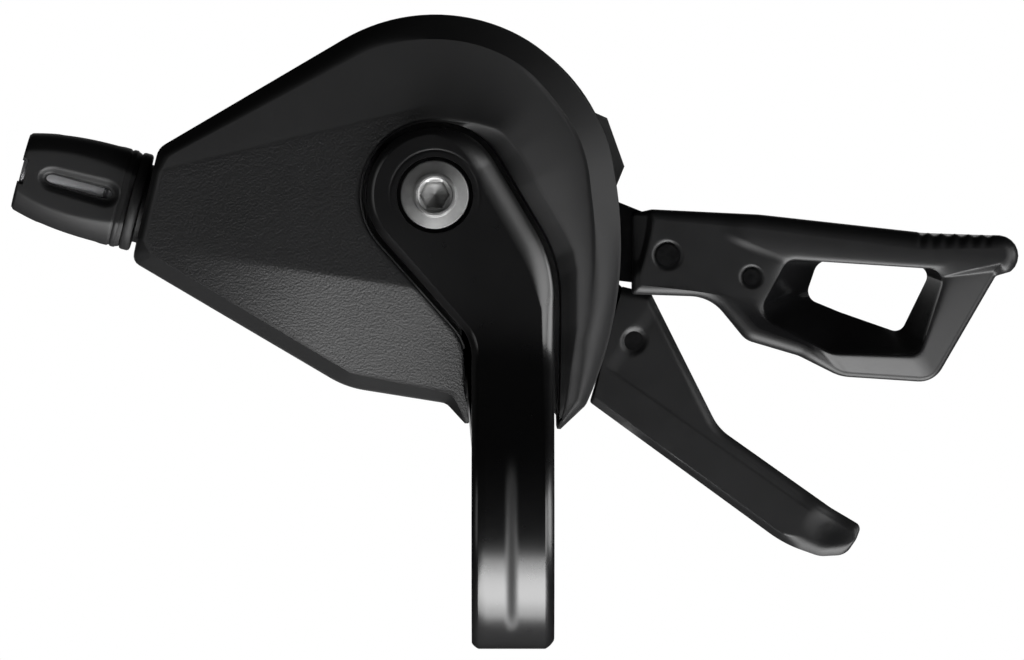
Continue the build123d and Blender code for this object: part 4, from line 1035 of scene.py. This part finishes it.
        def surface(share: Array) -> tuple[Array, Array, Array]:
            """Points, depths and pebbled zone of the face at shares of the way from recess to crest."""
            uv = blend(p["top"], p["crest"], share)
            left_over = (1 - share[:, None]) * length[None]
            level = np.maximum(ramp(turn, *self.level_turns), below)
            depth = self.facets(uv) * level + self.hood(share, length) * (1 - level)
            depth = depth - self.ridge[0] * p["ridge"] * np.exp(-((left_over / self.ridge[1]) ** 2))
            depth = depth + self.lip[0] * np.exp(-share[:, None] * length[None] / self.lip[1])
            depth = depth * (1 - under) + floor(uv) * under
            past_crease = beyond(uv, *self.upper_crease)
            zone = (ramp(turn, *self.grain_turns) + below) * (1 - ramp(past_crease, -0.2, 0.2))
            return uv, depth, zone * (1 - under) * ramp(left_over, 0.0, 0.5)

        rows, inner, grain = [], [], []

        def add(uv: Array, depth: Array, inside: Array, inside_depth: Array, pebbled: Number = 0.0) -> None:
            """Adds one row of the outer and of the inner side."""
            rows.append(on_body(uv, depth))
            inner.append(on_body(inside, inside_depth))
            grain.append(np.broadcast_to(pebbled, len(uv)))

        for share in (0.0, 0.5, 1.0):
            uv = p["spine"] + (p["foot"] - p["spine"]) * share
            add(uv, floor(uv), uv, self.ceiling)
        top_depth = surface(np.array([0.0]))[1][0]
        low = floor(p["foot"])
        steep = self.bench_fall[0] + self.bench_fall[1] * ramp(turn, 15, 50)
        bench = top_depth + steep * np.maximum(np.linalg.norm(p["top"] - p["foot"], axis=1) - 0.6, 0)
        bench = np.minimum(bench, low)
        wall_shares = (0.06, 0.12, 0.2, 0.4, 0.6, 0.8, 1.0)
        # Up to 1 from the floor to the bench, then on to the top
        wall_steps = (0.5, 1.0, 1.1, 1.3, 1.55, 1.8, 2.0)
        for share, along in zip(wall_shares, wall_steps):
            uv = p["foot"] + (p["top"] - p["foot"]) * share
            wall = low + (bench - low) * min(along, 1.0) + (top_depth - bench) * max(along - 1.0, 0.0)
            add(uv, wall, uv, self.ceiling)
        shares = eased(64)[1:]
        uv, depth, zone = surface(shares)
        inside = blend(p["top"], p["inner"], shares)
        for k in range(len(shares)):
            add(uv[k], depth[k], inside[k], self.ceiling, zone[k])
        rim = depth[-1]
        for share in np.linspace(0, 1, 11)[1:]:
            rim = depth[-1] + p["drop"] * share ** (1 + p["round"])
            add(p["crest"] + (p["soft"] - p["crest"]) * share, rim, p["inner"], self.ceiling + 0.02 * share)
        for angle in np.radians([30, 60, 90]):
            uv = p["soft"] + (p["outline"] - p["soft"]) * math.sin(angle)
            depth_row = rim + self.side_round * (1 - math.cos(angle))
            add(uv, depth_row, p["inner"], self.ceiling + 0.02 + 0.02 * angle)
        start = np.maximum(self.mouth_near, rim + 0.4)
        first_wall = len(rows)
        for share in np.linspace(0, 1, 6):
            depth_row = start + (self.parting - start) * share
            add(p["outline"], depth_row, p["inner"], np.maximum(depth_row, self.ceiling + 0.1))
        keep = np.ones((len(rows) - 1, self.columns), bool)
        middle = np.degrees(np.arctan2(*(p["outline"] + np.roll(p["outline"], -1, axis=0)).T[::-1]))
        keep[first_wall:, (middle > self.mouth[0]) & (middle < self.mouth[1])] = False
        skin = shell_skin(np.stack(rows), np.stack(inner), keep)
        skin.values["grain"] = np.concatenate([np.concatenate(grain), np.zeros(len(rows) * self.columns)])
        make_piece("upper_cover_moulding", skin, Body.CASE, "upper_cover", COVER,
                   crease=34.0)


@dataclass
class ReleasePaddle:
    """Release lever: root with two rivets, thick upper flange with ridges, frame round a finger window.

    The ledge is a point on it and the direction, in degrees, in which the flange rises from it.
    """

    near: float = 4.6
    far: float = 12.0
    root_near: float = 5.9
    root_r: float = 25.0
    root_sink: float = 0.28
    frame_sink: float = 0.35
    frame_lean: float = 1.2
    ledge: tuple[Point, float] = ((37.2, -6.55), 66.7)
    rivet: Point = (26.8, -6.9)
    pin: Point = (36.5, -9.4)
    rib_pitch: float = 1.55
    first_rib: float = 56.1
    columns: int = 560

    def depth(self, uv: Array, share: Array, lean: Array) -> Array:
        """Face depth: root, round flange above a ledge, frame that leans outwards, sinks round the rivets.

        Args:
            uv: points as (rows, columns, 2). share: how far each row is from the window to the outline.
            lean: how much each column's frame leans, from 0 to 1.

        Returns:
            Depths as (rows, columns).
        """
        u, v = uv[..., 0], uv[..., 1]
        ledge = ramp(beyond(uv, *self.ledge), -0.4, 0.8) * ramp(u, 32.5, 36.0)
        flange = self.near + 0.16 * (np.minimum(v + 5.0 + 0.085 * (u - 42), 0) / 2.0) ** 2
        frame_face = self.near + self.frame_sink + lean * self.frame_lean * share[:, None]
        side = ramp(lean, 0.2, 0.9)[None]
        level = (self.near + self.root_sink) * (1 - ledge) + flange * ledge
        level = level * (1 - side) + frame_face * side + 0.3 * np.exp(-share[:, None] * 14)
        level = level + dimple(uv, self.rivet, 1.15, 0.4) + dimple(uv, self.pin, 0.8, 0.4)
        radius = np.hypot(u, v)
        deep = 1 - ramp(radius, self.root_r - 0.4, self.root_r + 0.4)
        return level * (1 - deep) + (self.root_near + 0.4 * np.clip(self.root_r - radius, 0, 2.5)) * deep

    def build(self) -> None:
        """Rows go round the frame: up the window's funnel, over the face, down the side, along the back.

        Columns run round the lever, with the window's loop matched to the outline by place.
        """
        nose = arc_through((65.2, -4.6), (67.3, -7.0), (66.4, -8.8), 9)
        corners = np.vstack([(22.7, -11.4), (22.7, -2.1), (25.0, -1.6), (37.4, -2.2), (56.4, -4.3), nose,
                             (64.7, -9.3), (57.55, -21.6), (46.8, -20.9), (42.0, -18.5), (35.9, -16.7),
                             (31.8, -11.7)])
        # Values at the corners: the root's left side and top, the nose, then heel, bottom and root
        radii = np.concatenate([[0.3, 0.5, 1.0, 10.0, 20.0], np.zeros(len(nose)),
                                [0.6, 3.0, 5.0, 4.0, 2.5, 5.0]])
        edge = Track.through(corners, radii)
        rounding = np.concatenate([[1.1, 0.5, 1.2, 1.7, 2.0], np.full(len(nose), 1.5),
                                   [0.6, 0.6, 0.6, 1.2, 1.3, 1.1]])
        tilt = np.concatenate([np.zeros(14), [1.0, 1.0, 1.0, 0.1, 0.0, 0.0]])
        wear = np.concatenate([np.zeros(17), [1.0, 1.0, 0.2]])
        flat = Track.through(inset(corners, rounding), np.maximum(radii - 1.0, 0))
        near_hole = Track.through([(37.2, -13.6), (40.6, -7.4), (59.1, -8.6), (55.9, -18.5), (45.6, -18.2)],
                                  [1.8, 1.6, 1.6, 1.8, 3.0])
        far_hole = Track.through([(42.8, -11.8), (44.3, -7.4), (57.55, -8.25), (53.8, -15.9), (46.8, -13.45)],
                                 [1.4, 1.7, 1.2, 1.2, 3.0])
        s = np.linspace(0, edge.length, self.columns, endpoint=False)
        spots = [(22.7, -11.4), (22.7, -2.1), (42.6, -2.8), (60.5, -4.5), (67.3, -7.0), (64.7, -9.3),
                 (57.55, -21.6), (46.8, -20.9), (35.9, -16.7), (31.8, -11.7)]
        on_near = [(38.2, -12.1), (39.1, -10.6), (41.2, -7.7), (57.0, -8.5), (58.2, -8.8), (58.75, -9.5),
                   (55.9, -18.5), (45.6, -18.2), (38.8, -14.4), (37.6, -13.3)]
        on_far = [(43.05, -10.8), (43.5, -9.5), (44.4, -7.6), (55.6, -8.2), (56.6, -8.4), (56.9, -9.1),
                  (53.5, -15.8), (46.8, -13.4), (43.5, -12.1), (42.8, -11.6)]
        rim, crown = edge.at(s), edge.matched(s, flat)
        mouth = edge.paired(s, spots, near_hole, on_near)
        throat = edge.paired(s, spots, far_hole, on_far)
        lean, curve, worn = (edge.valued(s, column) for column in (tilt, rounding, wear))
        shares = eased(110)
        face = blend(mouth, crown, shares)
        level = self.depth(face, shares, lean)
        rows = [on_body(throat, self.far)]
        for share in (0.15, 0.4, 0.65, 0.85, 0.96):
            depth = self.far + (level[0] + 0.2 - self.far) * share
            rows.append(on_body(throat + (mouth - throat) * share, depth))
        polish = [np.ones((len(rows), self.columns)), worn[None] * (1 - ramp(shares, 0.6, 1.0))[:, None]]
        rows += list(on_body(face, level))
        ribs = ramp(rim[:, 0], 55.6, 56.2) * (1 - ramp(rim[:, 0], 64.0, 64.4)) * (rim[:, 1] > -6)
        ribs = ribs * (0.5 + 0.5 * np.cos((rim[:, 0] - self.first_rib) * 2 * math.pi / self.rib_pitch))
        for angle in np.radians([15, 30, 45, 60, 75, 90]):
            uv = crown + (rim - crown) * (math.sin(angle) - 0.14 * ribs[:, None] * math.sin(angle))
            depth = level[-1] + curve * (1 - math.cos(angle)) + 0.25 * ribs * math.sin(angle)
            rows.append(on_body(uv, depth))
        rows.append(on_body(rim, self.far - 0.6))
        rows.append(on_body(crown + (rim - crown) * (1 - 0.3 / curve[:, None]), self.far))
        skin = grid_skin(np.stack(rows), wrap_rows=True)
        polished = np.concatenate(polish).ravel()
        skin.values["polish"] = np.pad(polished, (0, len(skin.points) - len(polished)))
        make_piece("release_lever_moulding", skin, Body.RELEASE, "release_lever_paddle",
                   LEVER, crease=30.0)


@dataclass
class MainPaddle:
    """Main lever: root beside the covers, slim arm with a groove, scooped thumb tip."""

    near: float = 13.6
    far: float = 20.0
    rivet: Point = (23.0, -16.8)
    groove: tuple[Point, Point] = ((20.6, -20.4), (43.8, -36.8))
    groove_sink: float = 0.13
    scoop: Point = (45.4, -38.4)
    scoop_sink: float = 0.35
    upper_edge: float = 1.2
    back_edge: float = 0.7
    edge_drop: float = 0.6

    def build(self) -> None:
        """A section between the lever's two edges, carried from the root to the tip.

        The near side of the section drops in the groove, towards both edges, in the tip's scoop and
        round the rivet; the far side is flat with round edges.
        """
        end = (48.75, -39.8)
        upper = [(21.7, -10.5), (25.0, -11.3), (32.8, -26.9), (45.8, -36.1), (49.35, -38.2), end]
        lower = [(19.4, -18.8), (17.9, -23.9), (40.4, -40.3), (44.5, -41.75), (47.5, -41.6), end]
        on_lower = [(19.4, -18.8), (18.4, -22.2), (26.6, -30.2), (41.6, -40.8), (46.8, -41.7), end]
        outer = Track.through(upper, [0, 0.5, 6.0, 8.0, 0.8, 0], closed=False)
        inner = Track.through(lower, [0, 0.4, 14.0, 3.0, 2.0, 0], closed=False)
        closing = 0.88 + 0.12 * np.sin(np.linspace(0, math.pi / 2, 90))
        s = np.concatenate([np.linspace(0, 0.88, 300, endpoint=False), closing]) * outer.length
        a = inner.at(np.interp(s, outer.near(upper), inner.near(on_lower)))
        b = outer.at(s)
        first, last = (np.array(p) for p in self.groove)
        way = unit(last - first)
        side = np.array([-way[1], way[0]])
        crossing = np.clip(((first - a) @ side) / ((b - a) @ side + 1e-9), 0.12, 0.88)[:, None]
        flow = eased(41)
        shares = np.concatenate([crossing * flow[:-1], crossing + (1 - crossing) * flow], axis=1)
        uv = a[:, None] + (b - a)[:, None] * shares[..., None]
        width = np.linalg.norm(b - a, axis=1)[:, None]
        low, high = shares * width, (1 - shares) * width
        along, off = (uv - first) @ way, (uv - first) @ side
        reach = ramp(along, -1.5, 0.5) * (1 - ramp(along, 26.0, 28.5))
        middle, tip = ramp(along, 4.0, 10.0), ramp(along, 26.5, 29.5)
        scoop = np.hypot(uv[..., 0] - self.scoop[0], (uv[..., 1] - self.scoop[1]) * 1.15)
        edge, fall = 0.8 + 1.0 * tip, 0.45 + 1.1 * middle - 0.75 * tip
        depth = (self.near + self.groove_sink * reach * ramp(off, -0.15, 0.25)
                 + fall * (np.maximum(0, edge - low) / edge) ** (1.1 + 1.0 * tip)
                 + self.edge_drop * (np.maximum(0, self.upper_edge - high) / self.upper_edge) ** 2
                 + self.scoop_sink * (1 - ramp(scoop, 0.3, 3.2)) + dimple(uv, self.rivet, 0.95, 0.36))
        bare = np.maximum(0, self.back_edge - np.minimum(low, high)) / self.back_edge
        near_side, far_side = on_body(uv, depth), on_body(uv, self.far - self.edge_drop * bare**2)[:, ::-1]
        make_piece("main_lever_moulding", grid_skin(np.concatenate([near_side, far_side], axis=1), caps=True),
                   Body.MAIN, "main_lever_paddle", LEVER, crease=30.0)


@dataclass
class CableAdjuster:
    """Slotted barrel on an aluminium sleeve, with a collar in the covers' end.

    Pairs: slot is its length and width, notch its length and half its angle, flat its distance from
    the cable's line and its slope. A slot's width is measured at slot_r.
    """

    slope: float = 15.0
    drum_r: float = 9.6
    depth: float = 12.4
    seat: float = 31.1876
    collar_neck_r: float = 4.6
    collar_gap: float = 1.4
    collar: float = 1.3
    barrel_gap: float = 0.3
    barrel_r: float = 5.75
    barrel: float = 12.89
    sleeve_r: float = 3.3
    sleeve_start: float = 7.0
    sleeve_bore_r: float = 1.0
    sleeve_ring: float = 5.1
    casing_r: float = 2.55
    casing: float = 6.0
    slot: Point = (7.8, 1.75)
    slot_middle: float = 5.8
    slot_r: float = 5.6
    snap: float = 0.11
    notch: Point = (0.75, 22.0)
    flat: Point = (4.95, 0.085)
    dish: float = 0.72
    ring_at: float = 0.9
    turns: int = 216

    def around(self, along: Number, radius: Number, turn: Number) -> Array:
        """Points at a distance along the cable's line, a radius and an angle; 0 faces the arm's side."""
        tilt = math.radians(self.slope)
        axis = np.array([-math.cos(tilt), 0, math.sin(tilt)])
        drum = np.array([-math.sin(tilt), 0, -math.cos(tilt)]) * self.drum_r
        foot = PIVOT * (1, 0, 1) + drum + (0, self.depth, 0)
        facing, side = np.array([0, -1.0, 0]), np.cross(axis, [0, -1.0, 0])
        along, radius, turn = np.broadcast_arrays(along, radius, np.radians(turn))
        spoke = np.cos(turn)[..., None] * facing + np.sin(turn)[..., None] * side
        return foot + along[..., None] * axis + radius[..., None] * spoke

    def revolved(self, profile: Sequence[Point], columns: int = 120) -> Skin:
        """Closed profile of (along, radius) carried round the cable's line."""
        line = np.array(profile)
        turn = np.linspace(0, 360, columns, endpoint=False)
        return grid_skin(self.around(line[:, :1], line[:, 1:], turn[None]), wrap_rows=True)

    def barrel_skin(self) -> Skin:
        """Barrel wall: the radius falls on a curve towards the end.

        Four slots are spread round it. Two sides have a flat, with a dish about the slot. Vertices near a
        slot's edge are moved onto it, and cells inside slots and notches are left out.

        Returns:
            Closed surface.
        """
        start = self.seat + self.collar_gap + self.collar + self.barrel_gap
        notch_at = self.barrel - self.notch[0]
        along = np.unique(np.concatenate([np.linspace(0, notch_at, 84), [0.25, 0.5, 0.7, 0.9, 1.1],
                                          np.linspace(notch_at, self.barrel, 8)]))
        turn = np.linspace(0, 360, self.turns, endpoint=False)
        curve = np.polyfit([0, 2.5, 4.9, 7.2, 10.8, 12.0, 13.2], [5.75, 5.78, 5.74, 5.58, 5.02, 4.74, 4.4], 4)
        grid_l, grid_t = np.meshgrid(along, turn, indexing="ij")
        y = (np.mod(grid_t + 45, 90) - 45) * math.pi / 180 * self.slot_r
        straight = (self.slot[0] - self.slot[1]) / 2
        dl = grid_l - self.slot_middle
        dl = dl - np.clip(dl, -straight, straight)
        reach = np.hypot(dl, y)
        gap = reach - self.slot[1] / 2
        close = np.abs(gap) < self.snap
        shift = np.where(close, -gap / np.maximum(reach, 1e-6), 0)
        grid_l = grid_l + dl * shift
        grid_t = grid_t + y * shift / self.slot_r * 180 / math.pi
        gap = np.where(close, 0, gap)
        front = np.radians(np.clip(np.mod(grid_t + 90, 180) - 90, -65, 65))
        flat = (self.flat[0] - self.flat[1] * grid_l) / np.cos(front)
        dish = self.dish * (1 - ramp(gap, 0.25, 1.05)) * (np.abs(front) < 0.8)
        radius = soft_min(np.polyval(curve, grid_l), flat, 0.1) - dish
        radius = radius - 0.16 * np.exp(-(((grid_l - self.ring_at) / 0.14) ** 2))
        radius = radius - 0.25 * (1 - ramp(grid_l, 0, 0.25))
        radius = radius - 0.2 * ramp(grid_l, self.barrel - 0.3, self.barrel)
        grid_l = np.where(grid_l <= 0, -0.26, grid_l)
        outer = self.around(start + grid_l, radius, grid_t)
        inner = self.around(start + grid_l, self.sleeve_r + 0.02, grid_t)

        def middle(value: Array) -> Array:
            """Mean of a value over each cell."""
            closed = np.hstack([value, value[:, :1]])
            return (closed[:-1, :-1] + closed[1:, :-1] + closed[:-1, 1:] + closed[1:, 1:]) / 4

        end = middle(grid_l) > notch_at
        face = np.abs(np.mod(turn + 180 / self.turns + 90, 180) - 90)[None] < self.notch[1]
        return shell_skin(outer, inner, (middle(gap) > 0) & ~(end & face))

    def build(self) -> None:
        """Makes collar, barrel and sleeve."""
        seat, neck, r, bore = self.seat, self.collar_neck_r, self.barrel_r, self.sleeve_r + 0.06
        collar_at = seat + self.collar_gap
        end = collar_at + self.collar
        collar = [(seat, bore), (seat, neck), (collar_at - 0.1, neck), (collar_at, neck + 0.1),
                  (collar_at, r - 0.3), (collar_at + 0.1, r - 0.1), (collar_at + 0.3, r), (end - 0.3, r),
                  (end - 0.1, r - 0.1), (end, r - 0.3), (end, bore)]
        make_piece("adjuster_collar_ring", self.revolved(collar), Body.CASE, "adjuster_collar",
                   BARREL)
        make_piece("adjuster_barrel_grip", self.barrel_skin(), Body.ADJUSTER, "adjuster_barrel",
                   BARREL)
        first, last = seat - self.sleeve_start, end + self.barrel_gap + self.barrel - 0.15
        shank, ring, casing, bore = self.sleeve_r, seat + self.sleeve_ring, self.casing_r, self.sleeve_bore_r
        sleeve = [(first, bore), (first, shank), (ring + 0.35, shank), (ring + 0.4, shank - 0.6),
                  (ring + 0.75, shank - 0.6), (ring + 0.8, shank), (last - 0.2, shank), (last, shank - 0.2),
                  (last, casing + 0.15), (last - 0.15, casing), (last - self.casing, casing),
                  (last - self.casing, bore)]
        make_piece("adjuster_sleeve_turned", self.revolved(sleeve), Body.ADJUSTER, "adjuster_sleeve",
                   SLEEVE)


@dataclass
class Innards:
    """Pieces that keep their solid's own shape, listed by finish."""

    finishes: tuple[tuple[Finish, str], ...] = (
        (REAR_LIT, "lower_cover"),
        (BOLT, "clamp_screw"),
        (RIVET, "cover_screws main_lever_rivet release_lever_rivets"),
        (BLACKED, "main_lever_plate release_lever_plate"),
        (STEEL, "base_plate main_axle thrust_washers hold_pawl_pin drive_pawl_pin cable_drum"),
        (STEEL, "hold_pawl drive_pawl"),
        (SPRING, "retaining_ring hold_pawl_spring drive_pawl_spring release_lever_spring"),
        (SPRING, "drum_spring main_lever_spring"),
    )

    def dress(self) -> None:
        """Gives each solid its finish."""
        for finish, nodes in self.finishes:
            for node in nodes.split():
                mesh = frame["nodes"][node].data
                mesh.materials.clear()
                mesh.materials.append(WARDROBE.get(finish))
                LOG.info("%s: solid in %s", node, finish.name)


@dataclass(frozen=True)
class Lamp:
    """Area lamp: its place and size in metres and its power in watts."""

    name: str
    place: tuple[float, float, float]
    size: Point
    watts: float


@dataclass
class Studio:
    """Camera, lamps, floor and world.

    The photo's scale is in millimetres a pixel, and distance, floor_drop and lens_sensor are in
    millimetres. The floor's reach, the target and the lamps are in metres.
    """

    pixel: float = 0.115
    image: tuple[int, int] = (1024, 660)
    origin_px: Point = (513.0, 528.0)
    distance: float = 2000.0
    floor_drop: float = 520.0
    floor_reach: float = 20.0
    floor_glow: float = 0.85
    lens_sensor: float = 36.0
    target: tuple[float, float, float] = (0.0, 0.01, 0.025)
    lamps: tuple[Lamp, ...] = (
        Lamp("under_softbox", (0.07, -0.155, -0.316), (0.50, 0.45), 3.2),
        Lamp("under_strip", (0.07, -0.145, -0.300), (0.46, 0.20), 0.9),
        Lamp("right_softbox", (0.46, -0.40, 0.02), (0.34, 0.5), 1.5),
        Lamp("right_side", (0.60, -0.06, 0.06), (0.26, 0.36), 1.1),
        Lamp("left_fill", (-0.55, -0.35, 0.10), (0.3, 0.5), 0.3),
    )

    def camera(self) -> None:
        """Long lens square to the arm's side: the frame is as wide at the object as its pixels say."""
        data = bpy.data.cameras.new("camera")
        data.sensor_width = self.lens_sensor
        data.lens = self.lens_sensor * self.distance / (self.image[0] * self.pixel)
        data.clip_start, data.clip_end = 0.1, 50
        camera = bpy.data.objects.new("camera", data)
        x = (self.image[0] / 2 - self.origin_px[0]) * self.pixel
        z = (self.origin_px[1] - self.image[1] / 2) * self.pixel
        camera.location = (x * MM, -self.distance * MM, z * MM)
        camera.rotation_euler = (math.pi / 2, 0, 0)
        bpy.context.scene.collection.objects.link(camera)
        bpy.context.scene.camera = camera

    def light(self, lamp: Lamp) -> None:
        """Sets up a lamp that faces the object, hidden from the camera."""
        data = bpy.data.lights.new(lamp.name, "AREA")
        data.shape = "RECTANGLE"
        data.size, data.size_y = lamp.size
        data.energy = lamp.watts
        made = bpy.data.objects.new(lamp.name, data)
        made.location = lamp.place
        made.rotation_euler = (Vector(self.target) - Vector(lamp.place)).to_track_quat("-Z", "Y").to_euler()
        made.visible_camera = False
        bpy.context.scene.collection.objects.link(made)

    def world(self) -> None:
        """White for rays from the camera, through glass or glancing on past the object; dim for the rest."""
        world = bpy.data.worlds.new("studio")
        world.use_nodes = True
        bpy.context.scene.world = world
        shader = Shader(world.node_tree)
        direction = shader.node("ShaderNodeTexCoord", {}, {}, "Generated")
        behind = shader.node("ShaderNodeSeparateXYZ", {}, {"Vector": direction}, "Y").between(0.8, 1.0)
        seen = shader.ray("Is Camera Ray") + shader.ray("Is Transmission Ray")
        seen = seen + shader.ray("Is Glossy Ray") * behind
        colour = shader.mix(seen, (0.012, 0.012, 0.012), (1.0, 1.0, 1.0))
        shader.output(shader.node("ShaderNodeBackground", {}, {"Color": colour, "Strength": 1.0}),
                      "ShaderNodeOutputWorld")

    def floor(self) -> None:
        """Pale floor below the lamps; it shows white with a trace of the shadow."""
        z, reach = -self.floor_drop * MM, self.floor_reach
        mesh = bpy.data.meshes.new("floor")
        corners = [(-reach, -reach, z), (reach, -reach, z), (reach, reach, z), (-reach, reach, z)]
        mesh.from_pydata(corners, [], [[0, 1, 2, 3]])
        made = bpy.data.materials.new("floor")
        made.use_nodes = True
        shader = Shader(made.node_tree)
        grey = shader.mix(shader.noise(400.0), (0.80, 0.80, 0.80), (0.84, 0.84, 0.84))
        matt = shader.node("ShaderNodeBsdfDiffuse", {}, {"Color": grey})
        glow = shader.node("ShaderNodeEmission", {}, {"Strength": 1.0})
        share = (shader.ray("Is Camera Ray") + shader.ray("Is Transmission Ray")) * self.floor_glow
        both = shader.node("ShaderNodeMixShader", {}, {0: share, 1: matt, 2: glow})
        shader.output(both, "ShaderNodeOutputMaterial")
        floor = bpy.data.objects.new("floor", mesh)
        mesh.materials.append(made)
        bpy.context.scene.collection.objects.link(floor)

    def build(self) -> None:
        """Sets up the studio."""
        bpy.context.scene.view_settings.view_transform = "Standard"
        self.camera()
        self.world()
        self.floor()
        for lamp in self.lamps:
            self.light(lamp)


def main() -> None:
    """Builds the pieces in order, then the studio."""
    logging.basicConfig(level=logging.INFO, format="%(name)s: %(message)s")
    bracket = ClampBracket()
    bracket.build()
    ArmBolt().build()
    UpperCover(bracket).build()
    ReleasePaddle().build()
    MainPaddle().build()
    CableAdjuster().build()
    Innards().dress()
    Studio().build()


if __name__ == "__main__":
    main()
